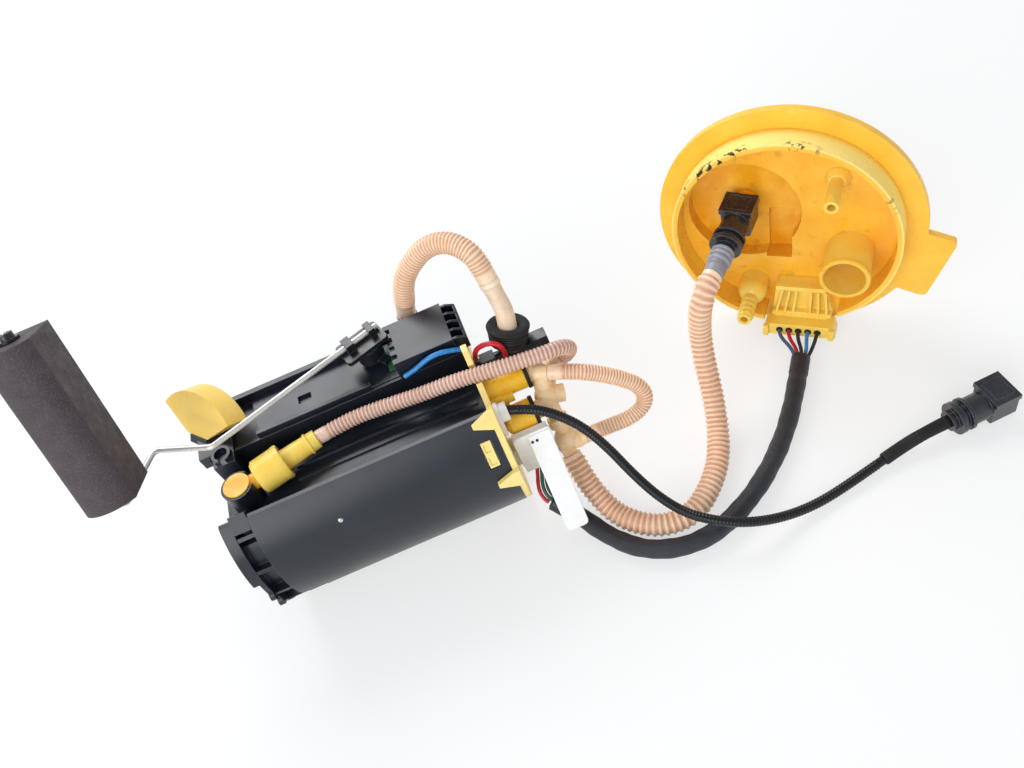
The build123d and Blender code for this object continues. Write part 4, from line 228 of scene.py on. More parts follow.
class Graph(Tree):
    """One moulded or woven material's nodes, with short calls for those that the finishes share."""

    def __init__(self, name: str) -> None:
        """Start a material with a shader and an output.

        Args:
            name: the material's name.
        """
        self.material = bpy.data.materials.new(name)
        super().__init__(self.material)
        self.shader = self.add("ShaderNodeBsdfPrincipled")
        self.link(self.shader.outputs["BSDF"], self.add("ShaderNodeOutputMaterial").inputs["Surface"])
        self.place = self.add("ShaderNodeTexCoord").outputs["Object"]

    def set(self, socket: str, value: object) -> None:
        """Set or feed one of the shader's sockets."""
        self.link(value, self.shader.inputs[socket])

    def noise(self, size: float, detail: float, stretch: Spot = (1, 1, 1)) -> object:
        """Add noise.

        Args:
            size: the width of its spots, in mm.
            detail: how many finer layers it carries.
            stretch: how much longer its spots are along each axis.

        Returns:
            The socket with its value, 0 to 1.
        """
        mapped = self.add("ShaderNodeMapping")
        self.link(self.place, mapped.inputs["Vector"])
        mapped.inputs["Scale"].default_value = [1.0 / (size * MM * part) for part in stretch]
        node = self.add("ShaderNodeTexNoise")
        node.inputs["Scale"].default_value = 1.0
        node.inputs["Detail"].default_value = detail
        self.link(mapped.outputs["Vector"], node.inputs["Vector"])
        return node.outputs[0]

    def cells(self, size: float) -> object:
        """Add a cell pattern of that width in mm, and give the socket with its distances."""
        node = self.add("ShaderNodeTexVoronoi")
        node.inputs["Scale"].default_value = 1.0 / (size * MM)
        self.link(self.place, node.inputs["Vector"])
        return node.outputs["Distance"]

    def mix(self, share: object, first: object, second: object) -> object:
        """Mix two colours by a share, and give the result's socket."""
        node = self.add("ShaderNodeMix")
        node.data_type = "RGBA"
        for index, part in ((0, share), (6, first), (7, second)):
            self.link(part, node.inputs[index])
        return node.outputs[2]

    def bump(self, height: object, depth: float, under: object = None) -> object:
        """Turn a height of 0 to 1 into relief.

        Args:
            height: the socket with the height.
            depth: how deep the relief is, in mm.
            under: the normal that it is laid on, or None for the surface's own.

        Returns:
            The socket with the normal.
        """
        node = self.add("ShaderNodeBump")
        node.inputs["Strength"].default_value = 1.0
        node.inputs["Distance"].default_value = depth * MM
        self.link(height, node.inputs["Height"])
        if under is not None:
            self.link(under, node.inputs["Normal"])
        return node.outputs["Normal"]

    def rounded(self, radius: float) -> object:
        """Give a normal that rounds the edges by a radius in mm."""
        node = self.add("ShaderNodeBevel")
        node.samples = EDGE_SAMPLES
        node.inputs["Radius"].default_value = radius * MM
        return node.outputs["Normal"]

    def edge(self, normal: object) -> object:
        """Give a mask that is 1 on edges, from a rounded normal."""
        node = self.add("ShaderNodeVectorMath")
        node.operation = "DOT_PRODUCT"
        self.link(normal, node.inputs[0])
        self.link(self.add("ShaderNodeNewGeometry").outputs["Normal"], node.inputs[1])
        return self.band(node.outputs["Value"], 0.98, 0.80)

    def carried(self, name: str) -> object:
        """Give the socket of a value that the mesh carries."""
        node = self.add("ShaderNodeAttribute")
        node.attribute_name = name
        return node.outputs["Fac"]

    def wrap(self) -> object:
        """Give the coordinates round and along a tube, in mm."""
        node = self.add("ShaderNodeUVMap")
        node.uv_map = "Wrap"
        return node.outputs["UV"]


# ---- finishes -------------------------------------------------------------------------------------
@dataclass(frozen=True)
class Finish:
    """A moulded surface: colour that drifts, edges with a painted highlight that also stands for wear, fine
    grain and a polish that varies.

    Attributes:
        name: the material's name.
        slot: the slot that it belongs to; not used.
        colour: the main colour.
        second: the colour that it drifts to.
        edge_highlight_and_wear_colour: the painted highlight on the edges, which also stands for their wear.
        edge_highlight_and_wear_share: how much of it shows.
        roughness: the polish, 0 to 1.
        spread: how far the polish varies.
        blotch: width of the drifts, in mm.
        grain: width of the grain, in mm.
        depth: depth of the grain, in mm.
        round_edge: radius that edges are rounded to, in mm.
        grime: how much dirt the surface carries, 0 to 1.
        grime_colour: the colour of the dirt.
        translucency: share of the light that spreads inside.
        specular: strength of the gloss.
        metallic: 1 for metal.
    """

    name: str
    slot: str
    colour: Colour
    second: Colour
    edge_highlight_and_wear_colour: Colour = (255, 255, 255)
    edge_highlight_and_wear_share: float = 0.2
    roughness: float = 0.35
    spread: float = 0.12
    blotch: float = 14.0
    grain: float = 0.6
    depth: float = 0.02
    round_edge: float = 0.4
    grime: float = 0.15
    grime_colour: Colour = (90, 70, 50)
    translucency: float = 0.0
    specular: float = 0.5
    metallic: float = 0.0

    made: ClassVar[dict[str, bpy.types.Material]] = {}

    def material(self) -> bpy.types.Material:
        """Make the material once, and give it."""
        if self.name not in self.made:
            graph = Graph(self.name)
            smooth = graph.rounded(self.round_edge)
            graph.set("Base Color", self.tint(graph, graph.edge(smooth)))
            graph.set("Roughness", self.polish(graph))
            graph.set("Normal", self.relief(graph, smooth))
            graph.set("Metallic", self.metallic)
            graph.set("Specular IOR Level", self.specular)
            graph.set("Subsurface Weight", self.translucency)
            graph.set("Subsurface Radius", SPREAD_INSIDE)
            graph.set("Subsurface Scale", SPREAD_SCALE)
            self.made[self.name] = graph.material
        return self.made[self.name]

    def tint(self, graph: Graph, edge: object) -> object:
        """Lay the colours.

        Args:
            graph: the material's nodes.
            edge: the mask of the edges.

        Returns:
            The socket with the colour.
        """
        drift = graph.band(graph.noise(self.blotch, 3), 0.3, 0.7)
        base = graph.mix(drift, linear(self.colour), linear(self.second))
        specks = graph.band(graph.noise(self.blotch * 0.22, 6), 0.56, 0.74, 0.0, self.grime)
        dirty = graph.mix(specks, base, linear(self.grime_colour))
        # painted highlight on the edges, which also stands for wear
        return graph.mix(graph.maths("MULTIPLY", edge, self.edge_highlight_and_wear_share), dirty, linear(self.edge_highlight_and_wear_colour))

    def polish(self, graph: Graph) -> object:
        """Give the socket with the roughness."""
        low, high = max(0.04, self.roughness - self.spread), min(1.0, self.roughness + self.spread)
        return graph.band(graph.noise(self.blotch * 0.5, 4), 0.3, 0.7, low, high)

    def relief(self, graph: Graph, smooth: object) -> object:
        """Give the socket with the normal, laid on the rounded one."""
        return graph.bump(graph.noise(self.grain, 3), self.depth, smooth)

    def dress(self, piece: bpy.types.Object) -> None:
        """Put the material on every slot of a piece."""
        if not piece.material_slots:
            piece.data.materials.append(self.material())
        for holder in piece.material_slots:
            holder.material = self.material()


@dataclass(frozen=True)
class DarkMoulding(Finish):
    """Black moulding with dust, rubbed streaks and hair scratches.

    Attributes:
        dust: the colour of settled dust.
        dust_share: how much of it lies on faces that look up.
        scratches: how strongly the streaks show in the polish.
    """

    dust: Colour = (86, 92, 104)
    dust_share: float = 0.10
    scratches: float = 0.5

    def tint(self, graph: Graph, edge: object) -> object:
        """Lay dust and scratches over the black."""
        base = Finish.tint(self, graph, edge)
        up = graph.parts(graph.add("ShaderNodeNewGeometry").outputs["Normal"])[2]
        patches = graph.band(graph.noise(22, 5), 0.35, 0.75, 0.0, self.dust_share)
        settled = graph.maths("MULTIPLY", graph.band(up, 0.2, 0.9), patches)
        return graph.mix(settled, base, linear(self.dust))

    def polish(self, graph: Graph) -> object:
        """Add rubbed streaks to the roughness."""
        streaks = graph.band(graph.noise(1.1, 4, (26, 2, 1)), 0.52, 0.72, 0.0, self.spread * self.scratches)
        return graph.maths("ADD", Finish.polish(self, graph), streaks)


@dataclass(frozen=True)
class Hose(Finish):
    """Translucent tube with painted shade in the valleys between its rings, dirt specks and long stains.

    Attributes:
        valley_shade_colour: the painted shade between two rings.
        valley_shade_share: how much of it shows.
        stain: the colour of long stains.
        stain_share: how much of it shows.
    """

    valley_shade_colour: Colour = (150, 105, 85)
    valley_shade_share: float = 0.8
    stain: Colour = (196, 140, 104)
    stain_share: float = 0.35

    def tint(self, graph: Graph, edge: object) -> object:
        """Paint shade into the valleys, stain the tube in long patches and fleck it with dirt."""
        drift = graph.band(graph.noise(self.blotch, 3), 0.3, 0.7)
        base = graph.mix(drift, linear(self.colour), linear(self.second))
        patch = graph.band(graph.noise(self.blotch * 2.2, 5), 0.45, 0.72, 0.0, self.stain_share)
        stained = graph.mix(patch, base, linear(self.stain))
        # painted shade: the valleys between the rings are darkened
        valley = graph.maths("MULTIPLY", graph.carried("valley"), self.valley_shade_share)
        dirt = graph.band(graph.noise(2.2, 4), 0.56, 0.72, 0.0, self.grime)
        ribbed = graph.mix(valley, stained, linear(self.valley_shade_colour))
        return graph.mix(dirt, ribbed, linear(self.grime_colour))


@dataclass(frozen=True)
class AgedShadedLid(Finish):
    """Amber lid plastic: pale outside the ring, with painted shade darkening the hollow's floor to a deeper
    amber, dark smudges in the hollow and dark flecks on the ring's rim.

    The pairs are where a tone sets in and where it is full, in mm: heights over the lid's foot, distances
    from its axis, and, for the flecks, the distance up from it.

    Attributes:
        rim_colour: the colour of the ring's outer wall.
        floor_shade_colour: the painted shade on the hollow's floor.
        smudge_colour: the colour of the smudges in the hollow.
        fleck_colour: the colour of the flecks.
        floor_height: of the hollow's floor.
        floor_radius: of the same.
        smudge_radius: of the smudges.
        wall_height: of the ring's outer wall.
        wall_radius: of the same.
        rim_height: of the ring's rim.
        rim_radius: of the same.
        fleck_side: how far up the rim the flecks start.
    """

    rim_colour: Colour = (255, 238, 150)
    floor_shade_colour: Colour = (236, 164, 4)
    smudge_colour: Colour = (150, 112, 40)
    fleck_colour: Colour = (42, 30, 20)
    floor_height: tuple[float, float] = (1.5, -1.5)
    floor_radius: tuple[float, float] = (53.5, 50.0)
    smudge_radius: tuple[float, float] = (54.0, 50.0)
    wall_height: tuple[float, float] = (0.5, 4.0)
    wall_radius: tuple[float, float] = (55.8, 56.6)
    rim_height: tuple[float, float] = (9.0, 13.4)
    rim_radius: tuple[float, float] = (53.6, 54.4)
    fleck_side: tuple[float, float] = (18.0, 34.0)

    def tint(self, graph: Graph, edge: object) -> object:
        """Lay the drifts, the painted shade and the marks by the place on the lid.

        Args:
            graph: the material's nodes.
            edge: the mask of the edges.

        Returns:
            The socket with the colour.
        """
        across, up, height = (self.reach(graph, axis) for axis in (LID.across, LID.up, LID.out))
        radius = self.away(graph, across, up)
        drift = graph.band(graph.noise(self.blotch, 4), 0.3, 0.7)
        base = graph.mix(drift, linear(self.colour), linear(self.second))
        # painted shade: the hollow's floor darkened to a deeper amber, in patches
        floor_mask = self.both(graph, height, self.floor_height, radius, self.floor_radius)
        patches = graph.band(graph.noise(11, 5), 0.35, 0.65, 0.25, 1.0)
        shaded_floor = graph.mix(graph.maths("MULTIPLY", floor_mask, patches), base, linear(self.floor_shade_colour))
        smudge = graph.band(graph.noise(7, 6), 0.60, 0.74, 0.0, 0.45)
        hollow = graph.maths("MULTIPLY", smudge, graph.band(radius, *self.smudge_radius))
        smudged = graph.mix(hollow, shaded_floor, linear(self.smudge_colour))
        wall = self.both(graph, height, self.wall_height, radius, self.wall_radius)
        pale = graph.mix(graph.maths("MULTIPLY", wall, 0.8), smudged, linear(self.rim_colour))
        near_rim = self.both(graph, height, self.rim_height, radius, self.rim_radius)
        high = graph.band(up, *self.fleck_side)
        flecks = graph.maths("MULTIPLY", near_rim, graph.band(graph.noise(3.2, 9), 0.53, 0.56))
        patchy = graph.maths("MULTIPLY", flecks, graph.band(graph.noise(26, 2), 0.50, 0.58))
        flecked = graph.mix(graph.maths("MULTIPLY", patchy, high), pale, linear(self.fleck_colour))
        # painted highlight on the edges, which also stands for wear
        return graph.mix(graph.maths("MULTIPLY", edge, self.edge_highlight_and_wear_share), flecked, linear(self.edge_highlight_and_wear_colour))

    def reach(self, graph: Graph, axis: Spot) -> object:
        """Give the socket with the distance from the lid's foot along an axis, in mm."""
        away = graph.add("ShaderNodeVectorMath")
        away.operation = "SUBTRACT"
        graph.link(graph.place, away.inputs[0])
        away.inputs[1].default_value = LID.spot(0, 0, 0)
        along = graph.add("ShaderNodeVectorMath")
        along.operation = "DOT_PRODUCT"
        graph.link(away.outputs[0], along.inputs[0])
        along.inputs[1].default_value = axis
        return graph.maths("MULTIPLY", along.outputs["Value"], 1 / MM)

    def both(
        self, graph: Graph, height: object, heights: tuple[float, float], radius: object,
        radii: tuple[float, float],
    ) -> object:
        """Give a mask that is full where both the height and the radius are within their pairs."""
        return graph.maths("MULTIPLY", graph.band(height, *heights), graph.band(radius, *radii))

    def away(self, graph: Graph, across: object, up: object) -> object:
        """Give the socket with the distance from the lid's axis, in mm, from the distances across and up."""
        squares = [graph.maths("MULTIPLY", side, side) for side in (across, up)]
        return graph.maths("SQRT", graph.maths("ADD", squares[0], squares[1]))


@dataclass(frozen=True)
class Foam(Finish):
    """Closed-cell foam: dark, pitted and speckled.

    Attributes:
        pit: width of a cell, in mm.
        speck: the colour of the specks.
    """

    pit: float = 0.9
    speck: Colour = (112, 100, 100)

    def tint(self, graph: Graph, edge: object) -> object:
        """Scatter pale specks over the foam."""
        base = Finish.tint(self, graph, edge)
        specks = graph.band(graph.cells(self.pit), 0.34, 0.16, 0.0, 0.45)
        return graph.mix(specks, base, linear(self.speck))

    def relief(self, graph: Graph, smooth: object) -> object:
        """Pit the surface over a softly rounded edge."""
        coarse = graph.bump(graph.noise(5.0, 4), 0.25, smooth)
        return graph.bump(graph.cells(self.pit), 0.12, coarse)


@dataclass(frozen=True)
class Drawn(Finish):
    """Drawn, turned or sheet metal with fine lines and tarnish.

    Attributes:
        stretch: how much longer its lines are along each axis.
    """

    stretch: Spot = (30, 1, 1)

    def relief(self, graph: Graph, smooth: object) -> object:
        """Lay the drawing lines along the metal."""
        return graph.bump(graph.noise(self.grain, 3, self.stretch), self.depth, smooth)


@dataclass(frozen=True)
class Woven(Finish):
    """A woven sleeve or mesh: threads that pass over and under each other.

    Attributes:
        thread: width of a thread, in mm.
        weave: how the threads run.
        thread_highlight_colour: the painted highlight on the threads that lie on top.
    """

    thread: float = 0.9
    weave: Weave = Weave.BRAID
    thread_highlight_colour: Colour = (96, 100, 112)

    def threads(self, graph: Graph) -> object:
        """Give the height of the threads, 0 to 1, from the coordinates round and along the tube."""
        if self.weave is Weave.BRAID:
            around, along, _ = graph.parts(graph.wrap())
            first = graph.maths("ADD", around, along)
            second = graph.maths("SUBTRACT", around, along)
        else:
            _, first, second = graph.parts(graph.place)
            first = graph.maths("MULTIPLY", first, 1 / MM)
            second = graph.maths("MULTIPLY", second, 1 / MM)
        waves = []
        for lane in (first, second):
            turn = graph.maths("MULTIPLY", lane, pi / self.thread)
            waves.append(graph.maths("SINE", turn))
        crossing = graph.maths("MULTIPLY", waves[0], waves[1])
        return graph.band(crossing, -1.0, 1.0)

    def tint(self, graph: Graph, edge: object) -> object:
        """Paint a highlight on the threads that lie on top."""
        base = Finish.tint(self, graph, edge)
        # painted highlight on the raised threads
        on_top = graph.band(self.threads(graph), 0.55, 1.0, 0.0, 0.45)
        return graph.mix(on_top, base, linear(self.thread_highlight_colour))

    def relief(self, graph: Graph, smooth: object) -> object:
        """Raise the threads."""
        return graph.bump(self.threads(graph), self.depth, smooth)


# ---- the module's finishes ------------------------------------------------------------------------
POT_BLACK = DarkMoulding(
    "pot_black", "black_gloss", (19, 24, 33), (25, 31, 42), edge_highlight_and_wear_colour=(132, 144, 164), edge_highlight_and_wear_share=0.45,
    roughness=0.33, spread=0.04, blotch=34, grain=1.2, depth=0.004, grime=0.04, grime_colour=(58, 64, 76),
    specular=0.5, dust=(92, 102, 122), dust_share=0.05, scratches=0.3,
)
PART_BLACK = DarkMoulding(
    "part_black", "black_plastic", (19, 20, 25), (28, 29, 36), edge_highlight_and_wear_colour=(124, 132, 148), edge_highlight_and_wear_share=0.38,
    roughness=0.28, spread=0.08, blotch=8, grain=0.6, depth=0.008, grime=0.08, grime_colour=(64, 66, 74),
    round_edge=0.35, dust_share=0.05,
)
COUPLING_BLACK = DarkMoulding(
    "coupling_black", "black_plastic", (24, 25, 31), (36, 38, 47), edge_highlight_and_wear_colour=(160, 168, 186),
    edge_highlight_and_wear_share=0.55, roughness=0.26, spread=0.08, blotch=7, grain=0.5, depth=0.010, dust_share=0.06,
    round_edge=0.4, specular=0.7, grime=0.06,
)
RUBBER_BLACK = DarkMoulding(
    "rubber_black", "black_rubber", (16, 16, 18), (26, 26, 28), roughness=0.62, spread=0.14, grain=0.35,
    depth=0.03, edge_highlight_and_wear_share=0.1, specular=0.35,
)
FOOT_CREAM = Finish(
    "foot_cream", "pale_yellow_plastic", (255, 208, 92), (255, 216, 112), edge_highlight_and_wear_colour=(255, 244, 200),
    edge_highlight_and_wear_share=0.45, roughness=0.38, blotch=11, grain=0.7, depth=0.015, grime=0.10,
    grime_colour=(150, 104, 40), translucency=0.25,
)
PLATE_CREAM = Finish(
    "plate_cream", "pale_yellow_plastic", (255, 222, 136), (255, 228, 150), edge_highlight_and_wear_colour=(255, 244, 206),
    edge_highlight_and_wear_share=0.45, roughness=0.40, blotch=18, grain=0.7, depth=0.015, grime=0.12,
    grime_colour=(156, 122, 66), translucency=0.25,
)
ELBOW_YELLOW = Finish(
    "elbow_yellow", "yellow_plastic", (240, 184, 52), (246, 192, 66), edge_highlight_and_wear_colour=(255, 226, 140),
    edge_highlight_and_wear_share=0.5, roughness=0.32, blotch=7, grain=0.5, depth=0.015, grime=0.14,
    grime_colour=(140, 92, 22), translucency=0.3,
)
VALVE_YELLOW = Finish(
    "valve_yellow", "yellow_plastic", (255, 212, 88), (255, 220, 108), edge_highlight_and_wear_colour=(255, 242, 180),
    edge_highlight_and_wear_share=0.5, roughness=0.32, blotch=7, grain=0.5, depth=0.015, grime=0.08,
    grime_colour=(196, 138, 30), translucency=0.3,
)
OUTLET_AMBER = Finish(
    "outlet_amber", "amber_plastic", (255, 206, 54), (250, 188, 34), edge_highlight_and_wear_colour=(255, 214, 110),
    edge_highlight_and_wear_share=0.5, roughness=0.28, blotch=6, grain=0.5, depth=0.012, grime=0.2, grime_colour=(112, 66, 10),
    translucency=0.35,
)
NYLON_TAN = Finish(
    "nylon_tan", "tan_nylon", (255, 226, 184), (250, 208, 158), edge_highlight_and_wear_colour=(255, 242, 220),
    edge_highlight_and_wear_share=0.45, roughness=0.30, blotch=7, grain=0.5, depth=0.012, grime=0.14,
    grime_colour=(140, 92, 58), translucency=0.4,
)
CONNECTOR_WHITE = Finish(
    "connector_white", "white_plastic", (250, 250, 249), (245, 245, 245), edge_highlight_and_wear_colour=(255, 255, 255),
    edge_highlight_and_wear_share=0.4, roughness=0.34, blotch=7, grain=0.5, depth=0.010, grime=0.05,
    grime_colour=(196, 190, 182), translucency=0.0,
)
LID_AMBER = AgedShadedLid(
    "lid_amber", "lid_plastic", (255, 204, 72), (254, 190, 52), edge_highlight_and_wear_colour=(255, 236, 150), edge_highlight_and_wear_share=0.45,
    roughness=0.33, spread=0.13, blotch=16, grain=0.7, depth=0.015, round_edge=0.5, translucency=0.3,
)
LID_PALE = Finish(
    "lid_pale", "lid_plastic", (255, 222, 108), (255, 208, 78), edge_highlight_and_wear_colour=(255, 244, 186), edge_highlight_and_wear_share=0.5,
    roughness=0.34, spread=0.08, blotch=9, grain=0.6, depth=0.012, grime=0.08, grime_colour=(176, 120, 24),
    translucency=0.35,
)
HOSE_RETURN = Hose(
    "hose_return", "pink_hose", (255, 226, 198), (252, 214, 184), roughness=0.34, blotch=18, grain=0.5,
    depth=0.012, grime=0.16, grime_colour=(120, 84, 62), translucency=0.35, valley_shade_colour=(206, 152, 118),
    valley_shade_share=0.85, stain=(224, 172, 138), stain_share=0.4,
)
HOSE_FEED = Hose(
    "hose_feed", "pink_hose", (255, 228, 198), (252, 218, 186), roughness=0.34, blotch=12, grain=0.5,
    depth=0.012, grime=0.12, grime_colour=(120, 84, 62), translucency=0.35, valley_shade_colour=(212, 160, 126),
    valley_shade_share=0.85, stain=(232, 184, 148), stain_share=0.3,
)
HOSE_LINK = Hose(
    "hose_link", "pink_hose", (255, 226, 194), (250, 212, 180), roughness=0.34, blotch=11, grain=0.5,
    depth=0.012, grime=0.16, grime_colour=(110, 76, 58), translucency=0.35, valley_shade_colour=(204, 152, 120),
    valley_shade_share=0.85, stain=(222, 172, 138), stain_share=0.35,
)
HOSE_JET = Hose(
    "hose_jet", "pink_hose", (246, 216, 200), (232, 198, 180), roughness=0.30, blotch=16, grain=0.4,
    depth=0.012, grime=0.2, grime_colour=(92, 66, 60), translucency=0.3, valley_shade_colour=(176, 130, 112),
    valley_shade_share=0.85, stain=(200, 156, 136), stain_share=0.4,
)
HOSE_AUX = Hose(
    "hose_aux", "black_hose", (18, 19, 25), (24, 26, 33), roughness=0.26, spread=0.08, blotch=9, grain=0.4,
    depth=0.008, grime=0.05, grime_colour=(70, 70, 76), valley_shade_colour=(8, 8, 10), valley_shade_share=0.9,
    stain=(16, 17, 22), specular=0.4,
)
CUFF_GREY = Hose(
    "cuff_grey", "grey_cuff", (172, 174, 186), (150, 152, 166), roughness=0.36, blotch=6, grain=0.4,
    depth=0.012, grime=0.14, grime_colour=(90, 84, 86), translucency=0.3, valley_shade_colour=(96, 94, 102),
    valley_shade_share=0.8, stain=(128, 122, 128),
)
NECK_CREAM = Hose(
    "neck_cream", "cream_cuff", (255, 240, 216), (255, 228, 198), roughness=0.34, blotch=6, grain=0.4,
    depth=0.012, grime=0.1, grime_colour=(140, 100, 78), translucency=0.35, valley_shade_colour=(184, 138, 108),
    valley_shade_share=0.7,
)
LOOM_WRAP = Woven(
    "loom_wrap", "loom_wrap", (22, 24, 31), (32, 35, 45), roughness=0.42, spread=0.10, blotch=16, grain=0.3,
    depth=0.16, grime=0.05, grime_colour=(66, 66, 76), thread=0.75, thread_highlight_colour=(58, 62, 76),
)
STRAINER_MESH = Woven(
    "strainer_mesh", "mesh", (226, 222, 202), (210, 204, 184), roughness=0.7, grain=0.3, depth=0.1,
    thread=0.5, weave=Weave.PLAIN, thread_highlight_colour=(244, 240, 226),
)
TAPE_BLACK = DarkMoulding(
    "tape_black", "loom_wrap", (20, 21, 26), (32, 33, 40), roughness=0.42, spread=0.12, blotch=5, grain=1.6,
    depth=0.05, edge_highlight_and_wear_share=0.15,
)
FLOAT_FOAM = Foam(
    "float_foam", "float_foam", (62, 52, 56), (74, 64, 70), edge_highlight_and_wear_colour=(126, 118, 126), edge_highlight_and_wear_share=0.5,
    roughness=0.62, spread=0.14, blotch=9, grain=1.2, depth=0.1, round_edge=1.1, grime=0.25,
    grime_colour=(30, 24, 26), specular=0.4,
)
ARM_WIRE = Drawn(
    "arm_wire", "steel_wire", (226, 224, 221), (196, 193, 189), roughness=0.34, spread=0.08, blotch=12,
    grain=0.2, depth=0.004, metallic=0.55, grime=0.12, grime_colour=(120, 106, 92), round_edge=0.1,
)
CASE_STEEL = Drawn(
    "case_steel", "steel", (186, 186, 190), (160, 160, 166), roughness=0.32, spread=0.1, blotch=14, grain=0.3,
    depth=0.008, metallic=1.0, grime=0.15, round_edge=0.2,
)
PIN_TIN = Drawn(
    "pin_tin", "tin", (214, 212, 204), (190, 188, 182), roughness=0.2, spread=0.08, blotch=5, grain=0.2,
    depth=0.006, metallic=1.0, grime=0.1, round_edge=0.1,
)
WOUND_COPPER = Drawn(
    "wound_copper", "copper", (204, 128, 70), (176, 100, 50), roughness=0.3, spread=0.1, blotch=4, grain=0.4,
    depth=0.08, metallic=1.0, stretch=(1, 1, 18), round_edge=0.1,
)
MAGNET_FERRITE = Finish(
    "magnet_ferrite", "ferrite", (52, 52, 56), (66, 66, 70), roughness=0.6, blotch=6, grain=0.3, depth=0.02,
    metallic=0.2,
)
SENDER_CARD = Finish(
    "sender_card", "card", (38, 92, 58), (48, 106, 66), roughness=0.42, blotch=5, grain=0.3, depth=0.01,
    round_edge=0.1,
)
LEAD_RED = Finish(
    "lead_red", "red_lead", (206, 18, 38), (176, 12, 30), edge_highlight_and_wear_share=0.0, roughness=0.32, blotch=6,
    grain=0.5, depth=0.01, grime=0.25, grime_colour=(70, 8, 14), translucency=0.1, round_edge=0.1,
)
LEAD_BLUE = Finish(
    "lead_blue", "blue_lead", (40, 128, 200), (58, 142, 206), edge_highlight_and_wear_share=0.0, roughness=0.30, blotch=6,
    grain=0.5, depth=0.01, grime=0.2, grime_colour=(18, 60, 104), translucency=0.1, round_edge=0.1,
)
LEAD_SLATE = Finish(
    "lead_slate", "blue_lead", (70, 96, 136), (56, 78, 116), edge_highlight_and_wear_share=0.0, roughness=0.34, blotch=6,
    grain=0.5, depth=0.01, grime=0.2, grime_colour=(30, 40, 62), round_edge=0.1,
)
LEAD_GREEN = Finish(
    "lead_green", "red_lead", (34, 104, 78), (26, 84, 62), edge_highlight_and_wear_share=0.0, roughness=0.34, blotch=6,
    grain=0.5, depth=0.01, grime=0.2, grime_colour=(14, 40, 30), round_edge=0.1,
)
LEAD_BLACK = Finish(
    "lead_black", "black_plastic", (22, 22, 26), (34, 34, 40), edge_highlight_and_wear_share=0.0, roughness=0.36, blotch=6,
    grain=0.5, depth=0.01, round_edge=0.1,
)
# black for dark discs that paint the shade inside holes
HOLE_SHADE_BLACK = Finish(
    "hole_shade_black", "black_rubber", (12, 12, 14), (18, 18, 20), edge_highlight_and_wear_share=0.1, roughness=0.5, blotch=6,
    grain=0.4, depth=0.02, round_edge=0.1,
)


